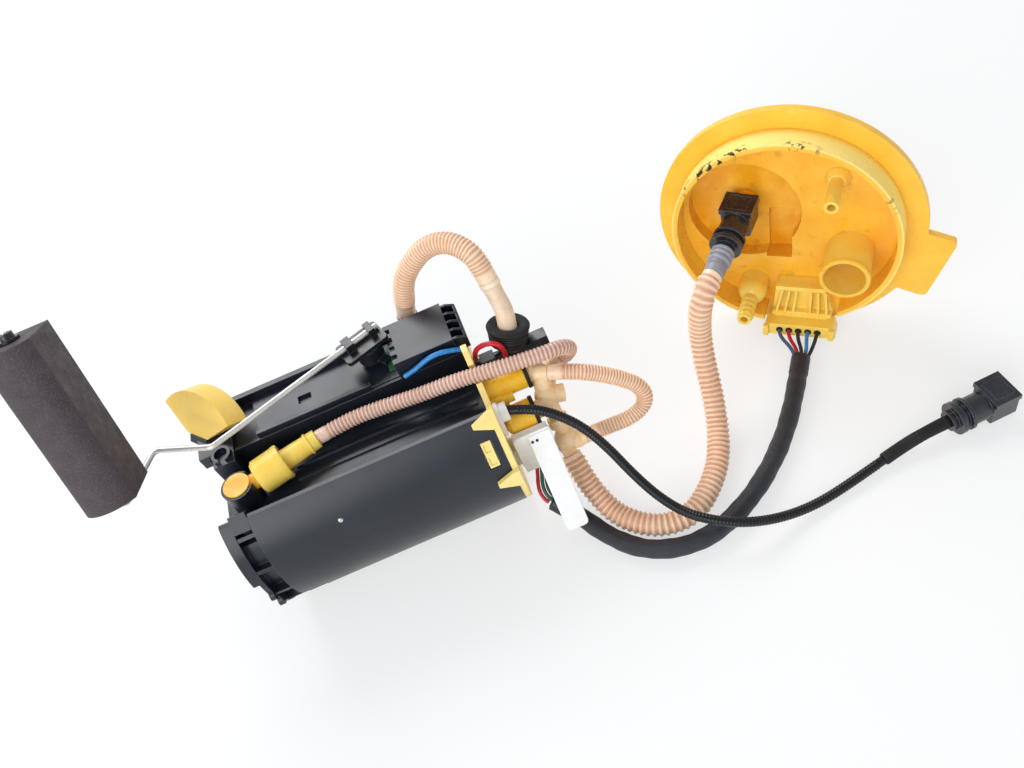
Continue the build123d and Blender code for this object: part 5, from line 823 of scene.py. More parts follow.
# ---- meshes ---------------------------------------------------------------------------------------
class Shape:
    """Corners and faces gathered for one piece, in metres in the shared frame."""

    def __init__(self) -> None:
        """Start empty."""
        self.corners: list[Vector] = []
        self.faces: list[tuple[int, ...]] = []
        self.valley: list[float] = []
        self.wrap: dict[int, tuple[float, float]] = {}
        self.girth = 1.0

    def corner(self, place: Vector, valley: float = 0.0) -> int:
        """Add a corner, and give its number."""
        self.corners.append(place)
        self.valley.append(valley)
        return len(self.corners) - 1

    def ring(
        self, centre: Vector, across: Vector, up: Vector, radius: float, sides: int, valley: float = 0.0,
    ) -> list[int]:
        """Add a ring of corners.

        Args:
            centre: its middle, in metres.
            across: the direction of its first corner.
            up: the direction square to it.
            radius: in metres.
            sides: how many corners it has.
            valley: the value that its corners carry, the share of painted shade that the hose finishes lay on
                them.

        Returns:
            The corners' numbers.
        """
        numbers = []
        for side in range(sides):
            turn = 2 * pi * side / sides
            numbers.append(self.corner(centre + (across * cos(turn) + up * sin(turn)) * radius, valley))
        return numbers

    def bridge(self, first: Sequence[int], second: Sequence[int]) -> None:
        """Join two rings of corners with quads."""
        for side in range(len(first)):
            after = (side + 1) % len(first)
            self.faces.append((first[side], first[after], second[after], second[side]))

    def cap(self, row: Sequence[int], flip: bool = False) -> None:
        """Close a ring with one face."""
        self.faces.append(tuple(reversed(row)) if flip else tuple(row))

    def turned(self, station: Station, outline: Sequence[tuple[float, float]], sides: int = 48) -> None:
        """Turn an outline about a station's outward axis.

        Args:
            station: where the axis stands.
            outline: pairs of height along the axis and radius, in mm; a closed loop repeats its first pair.
            sides: how many sides the turn has.
        """
        across, up = Vector(station.across), Vector(station.up)
        rows = []
        for height, radius in outline:
            rows.append(self.ring(station.spot(0, 0, height), across, up, radius * MM, sides))
        for first, second in zip(rows, rows[1:]):
            self.bridge(first, second)
        if outline[0] != outline[-1]:
            self.cap(rows[0], flip=True)
            self.cap(rows[-1])

    def slab(self, station: Station, outline: Sequence[tuple[float, float]], low: float, high: float) -> None:
        """Raise a flat outline into a slab.

        Args:
            station: the plane that the outline lies on.
            outline: pairs across and up, in mm, anticlockwise.
            low: height of its near face, in mm.
            high: height of its far face, in mm.
        """
        rows = [[self.corner(station.spot(u, v, height)) for u, v in outline] for height in (low, high)]
        self.bridge(rows[0], rows[1])
        self.cap(rows[0], flip=True)
        self.cap(rows[1])

    def piece(self, name: str, bevel: float = 0.0, smooth: bool = True) -> bpy.types.Object:
        """Make the object.

        Args:
            name: the piece's name.
            bevel: width that its edges are rounded to, in mm.
            smooth: True for rounded shading.

        Returns:
            The object, linked to the scene.
        """
        mesh = bpy.data.meshes.new(name)
        mesh.from_pydata(self.corners, [], self.faces)
        # the valley value marks where the hose finishes paint shade between the rings
        mesh.attributes.new("valley", "FLOAT", "POINT").data.foreach_set("value", self.valley)
        if self.wrap:
            layer = mesh.uv_layers.new(name="Wrap")
            self.lay_wrap(mesh, layer)
        mesh.validate()
        mesh.update()
        piece = bpy.data.objects.new(name, mesh)
        bpy.context.scene.collection.objects.link(piece)
        if smooth:
            mesh.shade_smooth()
            mesh.set_sharp_from_angle(angle=SMOOTH_TURN)
        if bevel:
            rounding = piece.modifiers.new("rounding", "BEVEL")
            rounding.width = bevel * MM
            rounding.segments = 2
            rounding.limit_method = "ANGLE"
        return piece

    def lay_wrap(self, mesh: bpy.types.Mesh, layer: bpy.types.MeshUVLoopLayer) -> None:
        """Lay the coordinates round and along a tube, with each seam face carried over to the full turn."""
        for polygon in mesh.polygons:
            spots = [self.wrap.get(index, (0.0, 0.0)) for index in polygon.vertices]
            wide = max(spot[0] for spot in spots) - min(spot[0] for spot in spots) > self.girth / 2
            for loop, spot in zip(polygon.loop_indices, spots):
                around = spot[0] + self.girth if wide and spot[0] < self.girth / 2 else spot[0]
                layer.data[loop].uv = (around, spot[1])


class Route:
    """A smooth line through the module: a NURBS spline on chosen points, read back as fine steps."""

    def __init__(self, name: str, points: Sequence[Sequence[float]]) -> None:
        """Lay the spline and read it.

        Args:
            name: the spline's name.
            points: its control points, in the module's own millimetres.
        """
        curve = bpy.data.curves.new(name, "CURVE")
        curve.dimensions = "3D"
        curve.resolution_u = LINE_STEPS
        spline = curve.splines.new("NURBS")
        spline.points.add(len(points) - 1)
        for control, point in zip(spline.points, points):
            control.co = (*at(point), 1.0)
        spline.order_u = 3
        spline.use_endpoint_u = True
        holder = bpy.data.objects.new(name, curve)
        mesh = bpy.data.meshes.new_from_object(holder)
        self.places = [corner.co.copy() for corner in mesh.vertices]
        bpy.data.meshes.remove(mesh)
        bpy.data.objects.remove(holder)
        bpy.data.curves.remove(curve)
        self.marks = [0.0]
        for first, second in zip(self.places, self.places[1:]):
            self.marks.append(self.marks[-1] + (second - first).length)
        self.length = self.marks[-1]
        self.sides = self.carry()

    def carry(self) -> list[Vector]:
        """Carry a sideways direction along the line without twist, and give it at each place."""
        ahead = (self.places[1] - self.places[0]).normalized()
        side = ahead.orthogonal().normalized()
        sides = [side]
        for index in range(1, len(self.places)):
            after = self.places[min(index + 1, len(self.places) - 1)] - self.places[index - 1]
            after.normalize()
            side = ahead.rotation_difference(after) @ side
            side = (side - after * side.dot(after)).normalized()
            sides.append(side)
            ahead = after
        return sides

    def at(self, mark: float) -> tuple[Vector, Vector, Vector, Vector]:
        """Give the place, heading, side and upward direction at a length along the line, in metres."""
        mark = min(max(mark, 0.0), self.length)
        index = min(bisect_right(self.marks, mark), len(self.marks) - 1)
        before = index - 1
        run = self.marks[index] - self.marks[before]
        share = (mark - self.marks[before]) / run if run else 0.0
        place = self.places[before].lerp(self.places[index], share)
        low = self.places[max(before - 1, 0)]
        high = self.places[min(index + 1, len(self.places) - 1)]
        ahead = (high - low).normalized()
        side = self.sides[before].lerp(self.sides[index], share)
        side = (side - ahead * side.dot(ahead)).normalized()
        return place, ahead, side, ahead.cross(side)


def skin(route: Route, stops: Sequence[tuple[float, float, float]], sides: int) -> Shape:
    """Skin a route with rings.

    Args:
        route: the line that it follows.
        stops: length along the route, radius and valley value of each ring, the first two in mm.
        sides: corners of a ring.

    Returns:
        The closed tube's shape, with coordinates round and along it.
    """
    shape = Shape()
    girth = 2 * pi * max(radius for _, radius, _ in stops)
    lanes = 2 * max(1, round(girth / (2 * WRAP_LANE)))
    shape.girth = lanes * WRAP_LANE
    before: list[int] = []
    first: list[int] = []
    for mark, radius, valley in stops:
        place, _, side, up = route.at(mark * MM)
        row = shape.ring(place, side, up, radius * MM, sides, valley)
        for step, index in enumerate(row):
            shape.wrap[index] = (shape.girth * step / sides, mark)
        if before:
            shape.bridge(before, row)
        else:
            first = row
        before = row
    shape.cap(first, flip=True)
    shape.cap(before)
    return shape


# ---- pieces ---------------------------------------------------------------------------------------
@dataclass
class Assembly:
    """A part of the module: it dresses its CAD nodes and adds pieces of its own.

    Attributes:
        nodes: the CAD nodes by name.
    """

    nodes: dict[str, bpy.types.Object]

    def wear(self, finish: Finish, *names: str) -> None:
        """Give CAD nodes a finish."""
        for name in names:
            finish.dress(self.nodes[name])
            log.info("%s wears %s", name, finish.name)

    def own(
        self, piece: bpy.types.Object, finish: Finish, body: str = "module", stands_for: Sequence[str] = (),
    ) -> bpy.types.Object:
        """Dress a new piece and hang it on its body.

        Args:
            piece: the object.
            finish: what it wears.
            body: the CAD body that it rides on.
            stands_for: the CAD nodes that it is shown in place of.

        Returns:
            The object.
        """
        finish.dress(piece)
        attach(piece, body)
        if stands_for:
            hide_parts(*stands_for)
        log.info("%s made, %d corners", piece.name, len(piece.data.vertices))
        return piece


@dataclass
class Reservoir(Assembly):
    """The black pot with its base, foot, mouth plate and what lies inside it.

    Attributes:
        vent: where the vent hole's pin stands, and which way it looks.
        vent_radius: radius of the pin, in mm.
    """

    vent: Spot = (-110.0, -58.4, 70.5)
    vent_out: Spot = (0.0, -0.883, 0.469)
    vent_radius: float = 1.2

    def build(self) -> None:
        """Dress the nodes and set the vent's pin."""
        self.wear(POT_BLACK, "pot_shell", "pot_base")
        self.wear(FOOT_CREAM, "tank_foot")
        self.wear(PLATE_CREAM, "top_plate")
        self.wear(RUBBER_BLACK, "inlet_valve", "pump_sleeve")
        self.wear(PART_BLACK, "jet_pump")
        self.wear(STRAINER_MESH, "suction_strainer")
        self.set_vent_pin()

    def set_vent_pin(self) -> None:
        """Set a bright headed pin in the vent hole."""
        shape = Shape()
        station = Station.along(self.vent, self.vent_out)
        wide = self.vent_radius
        outline = [
            (-2.6, wide * 0.5), (-0.5, wide * 0.6), (-0.4, wide * 0.95), (0.15, wide), (0.4, wide * 0.8),
            (0.5, wide * 0.3),
        ]
        shape.turned(station, outline, 20)
        self.own(shape.piece("vent_pin"), PIN_TIN)


@dataclass
class Pump(Assembly):
    """The electric pump inside the pot."""

    def build(self) -> None:
        """Dress the nodes."""
        self.wear(CASE_STEEL, "pump_case")
        self.wear(PART_BLACK, "pump_inlet_cover", "pump_end_cap", "pump_impeller")
        self.wear(WOUND_COPPER, "pump_armature")
        self.wear(MAGNET_FERRITE, "pump_magnets")


@dataclass
class LevelSender(Assembly):
    """The level sender: bracket, housing, card and rotor, with the wire arm and its foam float."""

    def build(self) -> None:
        """Dress the nodes."""
        self.wear(POT_BLACK, "sender_bracket", "sender_housing")
        self.wear(SENDER_CARD, "sender_card")
        self.wear(PART_BLACK, "sender_rotor", "float_clip")
        self.wear(ARM_WIRE, "float_arm")
        self.wear(FLOAT_FOAM, "float")


@dataclass
class ReturnValve(Assembly):
    """The yellow elbow on the pot and the check valve in it."""

    def build(self) -> None:
        """Dress the nodes."""
        self.wear(ELBOW_YELLOW, "valve_elbow")
        self.wear(VALVE_YELLOW, "check_valve")
        self.wear(CONNECTOR_WHITE, "check_poppet")
        self.wear(CASE_STEEL, "check_spring")
        self.set_collar()

    def set_collar(self) -> None:
        """Set the barrel's standing rim and the step on its nose."""
        rim_outline = (
            (21.6, 8.7), (22.0, 9.25), (24.4, 9.3), (24.9, 9.0), (24.9, 8.1), (24.5, 7.7), (21.6, 7.65),
            (21.6, 8.7),
        )
        nose_outline = (
            (37.6, 4.8), (37.9, 5.5), (39.0, 5.6), (39.4, 5.0), (42.4, 4.85), (43.3, 4.9), (43.5, 4.1),
            (37.6, 4.1), (37.6, 4.8),
        )
        for name, outline, sides in (("rim", rim_outline, 56), ("nose", nose_outline, 40)):
            shape = Shape()
            shape.turned(VALVE, outline, sides)
            self.own(shape.piece("check_valve_" + name), VALVE_YELLOW)


def softened(outline: Sequence[tuple[float, float]], radii: Sequence[float]) -> list[tuple[float, float]]:
    """Round the corners of a flat outline.

    Args:
        outline: its corners, in mm, in order.
        radii: how far from each corner the round starts, in mm; 0 leaves it sharp.

    Returns:
        The corners with the rounds put in.
    """
    rounded = []
    for index, (corner, radius) in enumerate(zip(outline, radii)):
        spot = Vector(corner)
        if not radius:
            rounded.append(tuple(spot))
            continue
        before = (Vector(outline[index - 1]) - spot).normalized() * radius + spot
        after = (Vector(outline[(index + 1) % len(outline)]) - spot).normalized() * radius + spot
        for step in range(ROUND_STEPS + 1):
            share = step / ROUND_STEPS
            rest = 1 - share
            rounded.append(tuple(before * rest ** 2 + spot * 2 * share * rest + after * share ** 2))
    return rounded


@dataclass
class MouthFittings(Assembly):
    """The fittings at the pot's mouth: amber outlet and regulator, branches, connectors and their gaskets.

    Attributes:
        outlet_gasket: start, end and radius of the gasket on the outlet, in mm.
        regulator_gasket: the same of the regulator's.
        strap_top: middle of the strap's upper end, in mm.
        strap_foot: middle of its lower end, in mm.
        strap_half: half its width, in mm.
        strap_thickness: in mm.
    """

    outlet_gasket: Spot = (-4.0, -1.9, 6.7)
    regulator_gasket: Spot = (-7.0, -4.9, 8.0)
    strap_top: Spot = (-8.6, -49.0, 59.0)
    strap_foot: Spot = (-8.6, -80.0, 15.5)
    strap_half: float = 5.8
    strap_thickness: float = 1.8

    def build(self) -> None:
        """Dress the nodes and lay the gaskets."""
        self.wear(PART_BLACK, "feed_elbow", "top_connector", "top_connector_nut", "top_connector_plug")
        self.wear(OUTLET_AMBER, "outlet_body", "regulator")
        self.wear(NYLON_TAN, "y_fitting", "t_fitting")
        self.wear(CONNECTOR_WHITE, "line_collar", "plate_connector", "connector_strap")
        self.lay_gasket("outlet_gasket", (-23.0, 72.0), 5.4, self.outlet_gasket)
        self.lay_gasket("regulator_gasket", (-36.5, 60.5), 6.8, self.regulator_gasket)
        self.fit_boot()
        self.hang_strap()

    def fit_boot(self) -> None:
        """Fit the ringed rubber boot over the top connector's cup."""
        outline = [(8.2, 8.85), (8.5, 9.5), (9.6, 9.7), (10.3, 9.25)]
        for low, swell in ((10.6, 0.0), (12.9, 0.25)):
            outline += [(low, 9.3), (low + 0.4, 9.8 + swell), (low + 1.4, 9.9 + swell), (low + 1.9, 9.35)]
        outline += [
            (15.4, 9.4), (15.9, 10.5), (17.3, 10.8), (18.1, 10.3), (18.4, 9.2), (18.1, 6.0), (17.4, 5.2),
            (8.2, 8.85),
        ]
        shape = Shape()
        shape.turned(CUP, outline, 56)
        self.own(shape.piece("feed_boot"), RUBBER_BLACK)

    def hang_strap(self) -> None:
        """Hang the white strap from the connector, with its round foot, and set two dark discs at its top,
        painted shade of its holes.
        """
        rise = Vector(self.strap_top) - Vector(self.strap_foot)
        half, length, thick = self.strap_half, rise.length, self.strap_thickness / 2
        rise.normalize()
        face = Station(self.strap_top, (1.0, 0.0, 0.0), tuple(rise), tuple(Vector((1, 0, 0)).cross(rise)))
        strip = [(-half, -length), (half, -length), (half, 0.5), (-half, 0.5)]
        shape = Shape()
        shape.slab(face, softened(strip, (2.6, 2.6, 0, 0)), -thick, thick)
        front = Station((-12.4, -47.6, 51.0), (1.0, 0.0, 0.0), (0.0, 0.0, 1.0), (0.0, -1.0, 0.0))
        sheet = [(-9.7, -14), (-4.0, -14), (-4.0, -16), (9.7, -16), (9.7, 9.9), (-8.4, 9.9), (-9.7, 8.2)]
        shape.slab(front, softened(sheet, (1.0, 0.6, 0.6, 1.0, 1.6, 1.0, 1.0)), 0.0, 1.4)
        self.own(
            shape.piece("connector_strap_plate", bevel=0.35), CONNECTOR_WHITE,
            stands_for=("connector_strap",),
        )
        # near-flush dark discs that paint the shade of the strap's two holes
        outline = [(-0.3, 0.75), (0.12, 0.75), (0.16, 0.5), (0.05, 0.2)]
        for side, across in (("left", -4.5), ("right", -2.1)):
            pin = Shape()
            pin.turned(face.moved(across, -2.8, thick), outline, 16)
            self.own(pin.piece(f"strap_hole_shade_{side}"), HOLE_SHADE_BLACK)

    def lay_gasket(self, name: str, axis: tuple[float, float], inner: float, size: Spot) -> None:
        """Lay a rounded black ring round a body that runs along the pot.

        Args:
            name: the piece's name.
            axis: where the body's axis crosses, in mm.
            inner: the ring's inner radius, in mm.
            size: its start, end and radius, in mm.
        """
        start, end, radius = size
        soft = min(0.4, (end - start) / 3)
        outline = [
            (start, inner), (start, radius - soft), (start + soft, radius), (end - soft, radius),
            (end, radius - soft), (end, inner), (start, inner),
        ]
        shape = Shape()
        shape.turned(Station.along((0.0, *axis), (1, 0, 0)), outline, 40)
        self.own(shape.piece(name), RUBBER_BLACK)


@dataclass
class RibbedHose(Assembly):
    """A convoluted tube: even rings between smooth ends.

    Attributes:
        node: the CAD node that it is shown in place of.
        points: its control points, in mm.
        diameter: across its rings, in mm.
        length: the real length, in mm; not used.
        finish: what it wears.
        pitch: distance from ring to ring, in mm.
        depth: depth of the valleys, in mm.
        ends: length of the smooth start and end, in mm.
        neck: radius of the smooth ends, in mm.
        far_end: what it ends in; not used.
        stiffness: how it bends; not used.
        carries: names of the pieces on it; not used.
        sides: corners of a ring.
        crest: how narrow the rings are beside the valleys.
        phases: where a ring's corners stand, as shares of the pitch.
    """

    node: str = ""
    points: Sequence[Spot] = ()
    diameter: float = 10.0
    length: float = 100.0
    finish: Finish = HOSE_RETURN
    pitch: float = 3.0
    depth: float = 0.6
    ends: tuple[float, float] = (8.0, 8.0)
    neck: float = 5.0
    far_end: FarEnd = FarEnd.OBJECT
    stiffness: Stiffness = Stiffness.MEDIUM
    carries: Sequence[str] = ()
    sides: int = 32
    crest: float = 2.6
    phases: ClassVar[Sequence[float]] = (0.0, 0.18, 0.32, 0.42, 0.5, 0.58, 0.68, 0.82)

    def stops(self, length: float) -> list[tuple[float, float, float]]:
        """Give the rings of the tube.

        Args:
            length: of the line, in mm.

        Returns:
            Mark along the line, radius and valley value of each ring.
        """
        radius = self.diameter / 2
        start, end = self.ends
        stops = [(0.0, self.neck - 0.3, 0.3), (0.25, self.neck, 0.0)]
        stops += [(start * step / 4, self.neck, 0.0) for step in range(1, 4)]
        ribs = max(1, round((length - start - end) / self.pitch))
        pitch = (length - start - end) / ribs
        for rib in range(ribs):
            for phase in self.phases:
                share = sin(pi * phase) ** self.crest
                low = radius - self.depth
                if rib == 0 and phase == 0.0:
                    low = min(low, self.neck)
                # the valley value is the share of painted shade laid between the rings
                stops.append((start + (rib + phase) * pitch, low + self.depth * share, 1 - share))
        stops.append((length - end, min(radius - self.depth, self.neck), 1.0))
        stops += [(length - end * step / 4, self.neck, 0.0) for step in (3, 2, 1)]
        stops += [(length - 0.25, self.neck, 0.0), (length, self.neck - 0.3, 0.3)]
        return stops

    def build(self) -> bpy.types.Object:
        """Make the tube, and log how far it runs."""
        route = Route(self.node + "_line", self.points)
        shape = skin(route, self.stops(route.length / MM), self.sides)
        piece = self.own(shape.piece(self.node + "_tube"), self.finish, stands_for=(self.node,))
        declare(piece, route)
        return piece


def declare(
    piece: bpy.types.Object, route: Route,
) -> None:
    """Step along a cord's line, and log how far it runs.

    Args:
        piece: the mesh tube.
        route: the line that it follows.
    """
    steps = ceil(route.length / (PATH_STEP * MM))
    path = [tuple(route.at(route.length * step / steps)[0]) for step in range(steps + 1)]
    log.info("%s runs %.1f mm", piece.name, route.length / MM)


@dataclass
class Sleeve(Assembly):
    """A smooth or ringed sleeve on the end of a tube.

    Attributes:
        name: the piece's name.
        node: the CAD node that it is shown in place of.
        points: its control points, in mm.
        outline: pairs of length along it and radius, in mm.
        finish: what it wears.
        ring_step: the most that two rings of corners stand apart, in mm.
        sides: corners of a ring.
    """

    name: str = ""
    node: str = ""
    points: Sequence[Spot] = ()
    outline: Sequence[tuple[float, float]] = ()
    finish: Finish = NECK_CREAM
    ring_step: ClassVar[float] = 1.2
    sides: ClassVar[int] = 36

    def build(self) -> bpy.types.Object:
        """Make the sleeve, with its outline stretched over the whole line."""
        route = Route(self.name + "_line", self.points)
        whole = self.outline[-1][0]
        widest = max(radius for _, radius in self.outline)
        stops = []
        for (start, first), (end, second) in zip(self.outline, self.outline[1:]):
            pieces = max(1, ceil((end - start) / self.ring_step))
            for step in range(pieces):
                share = step / pieces
                radius = first + (second - first) * share
                mark = (start + (end - start) * share) / whole * route.length / MM
                # the narrower rings of a sleeve carry more painted shade
                stops.append((mark, radius, (widest - radius) / 2))
        stops.append((route.length / MM, self.outline[-1][1], 0.0))
        piece = skin(route, stops, self.sides).piece(self.name)
        return self.own(piece, self.finish, stands_for=(self.node,))


@dataclass
class Lead(Assembly):
    """One insulated wire.

    Attributes:
        name: the piece's name.
        points: its control points, in mm.
        diameter: in mm.
        finish: what it wears.
        node: the CAD node that it is shown in place of.
        ring_step: the most that two rings of corners stand apart, in mm.
        sides: corners of a ring.
    """

    name: str = ""
    points: Sequence[Spot] = ()
    diameter: float = 2.0
    finish: Finish = LEAD_BLACK
    node: str = ""
    ring_step: ClassVar[float] = 0.8
    sides: ClassVar[int] = 16

    def build(self) -> tuple[bpy.types.Object, Route]:
        """Make the wire, and give it with its line."""
        route = Route(self.name + "_line", self.points)
        length = route.length / MM
        steps = ceil(length / self.ring_step)
        radius = self.diameter / 2
        stops = [(0.0, radius * 0.8, 0.0)]
        for step in range(steps + 1):
            stops.append((0.1 + (length - 0.2) * step / steps, radius * (1 + 0.02 * sin(step * 0.9)), 0.0))
        stops.append((length, radius * 0.8, 0.0))
        piece = skin(route, stops, self.sides).piece(self.name)
        self.own(piece, self.finish, stands_for=(self.node,))
        return piece, route


@dataclass
class Loom(Assembly):
    """The woven black loom with its taped ends and the coloured leads at both of them.

    Attributes:
        points: control points of the sleeve, in mm.
        radius: of the sleeve, in mm.
        length: its real length, in mm; not used.
        tape: length and extra radius of the taped ends, in mm.
        fan: distance between the leads where they enter the loom, in mm.
        lead: diameter of a lead, in mm.
        ring_step: the most that two rings of corners stand apart, in mm.
        sides: corners of a ring.
        turns: how often a tape goes round.
        inset: how far a tape starts from the sleeve's end, in mm.
        plug_colours: what the leads at the lid's plug wear, in order.
        block_colours: what those at the sender's block wear.
    """

    points: Sequence[Spot] = (
        (-15.5, -60, 16), (-6, -69.5, 8.5), (3, -85.5, 5.4), (16, -100.5, 5.4), (33.5, -107.8, 5.4),
        (52, -107.5, 5.4), (72, -99.5, 5.4), (91, -87, 5.4), (108, -71.5, 5.4), (123.5, -53, 5.4),
        (138.5, -32.5, 6.2),
    )
    radius: float = 4.9
    length: float = 207.0
    tape: tuple[float, float] = (11.0, 0.15)
    fan: float = 2.35
    lead: float = 2.0
    ring_step: float = 1.1
    sides: int = 40
    turns: int = 3
    inset: float = 0.4
    plug_colours: Sequence[Finish] = (LEAD_SLATE, LEAD_RED, LEAD_BLACK, LEAD_BLUE, LEAD_BLACK)
    block_colours: Sequence[Finish] = (LEAD_RED, LEAD_GREEN, LEAD_BLACK)

    def build(self) -> None:
        """Make the sleeve, its tape and its leads."""
        route = Route("loom_line", self.points)
        length = route.length / MM
        rings = ceil(length / self.ring_step)
        stops = [(0.0, self.radius - 1.2, 0.0), (0.5, self.radius - 0.25, 0.0)]
        for step in range(1, rings):
            mark = length * step / rings
            slack = 0.12 * sin(mark * 0.31) + 0.08 * sin(mark * 0.77 + 1.0)
            stops.append((mark, self.radius - 0.12 + slack, 0.0))
        stops += [(length - 0.5, self.radius - 0.25, 0.0), (length, self.radius - 1.2, 0.0)]
        sleeve = skin(route, stops, self.sides).piece("loom_sleeve")
        self.own(sleeve, LOOM_WRAP, stands_for=("loom",))
        tapes = [
            self.wind("loom_tape_block", route, self.inset),
            self.wind("loom_tape_plug", route, length - self.tape[0] - self.inset),
        ]
        leads = self.plug_leads() + self.block_leads()
        declare(
            sleeve, route,
        )

    def wind(self, name: str, route: Route, start: float) -> bpy.types.Object:
        """Wind tape over an end of the sleeve, with the step of each turn showing.

        Args:
            name: the piece's name.
            route: the sleeve's line.
            start: where the tape starts, in mm along the line.

        Returns:
            The tape.
        """
        wide, proud = self.tape
        stops = [(start, self.radius - 0.3, 0.0)]
        for turn in range(self.turns):
            low = start + wide * turn / self.turns
            high = start + wide * (turn + 1) / self.turns
            stops += [(low + 0.1, self.radius + proud, 0.0), (high - 0.25, self.radius + proud - 0.08, 0.0)]
        stops.append((start + wide, self.radius - 0.3, 0.0))
        return self.own(skin(route, stops, self.sides).piece(name), TAPE_BLACK)

    def plug_leads(self) -> list[bpy.types.Object]:
        """Run the five leads from the lid's harness plug into the loom."""
        end = Vector(self.points[-1])
        heading = (end - Vector(self.points[-2])).normalized()
        level = Vector(LID.across)
        leads = []
        for index, finish in enumerate(self.plug_colours):
            step = index - PLUG_LEADS // 2
            plug = PLUG_BAR.moved(PLUG_LEAD_STEP * step, 0, 15.5)
            points = [
                plug.foot, plug.moved(0, 0, 5.0).foot, tuple(end + heading * 4 + level * self.fan * step),
                tuple(end - heading * 0.3 + level * min(self.fan, 1.7) * step),
            ]
            leads.append(
                Lead(self.nodes, f"plug_lead_{index + 1}", points, self.lead, finish, "plug_leads").build()[0]
            )
        return leads

    def block_leads(self) -> list[bpy.types.Object]:
        """Run the three leads from the sender's block into the loom."""
        start = Vector(self.points[0])
        heading = (start - Vector(self.points[1])).normalized()
        leads = []
        for index, finish in enumerate(self.block_colours):
            step = index - 1
            spread = Vector((self.fan * step, 0, 0))
            top = Vector((-12.5 + 2.4 * step, -43, 38.5))
            points = [
                tuple(top), tuple(top - Vector((0, 0, 10))), tuple(start + heading * 6 + spread),
                tuple(start - heading * 0.3 + spread),
            ]
            leads.append(
                Lead(
                    self.nodes, f"block_lead_{index + 1}", points, self.lead, finish, "bracket_leads",
                ).build()[0]
            )
        return leads


@dataclass
class QuickConnector(Assembly):
    """A quick connector with its latch and seal.

    Attributes:
        which: start of its nodes' names.
    """

    which: str = ""

    def build(self) -> None:
        """Dress the nodes."""
        self.wear(COUPLING_BLACK, self.which, self.which + "_latch")
        self.wear(RUBBER_BLACK, self.which + "_seal")


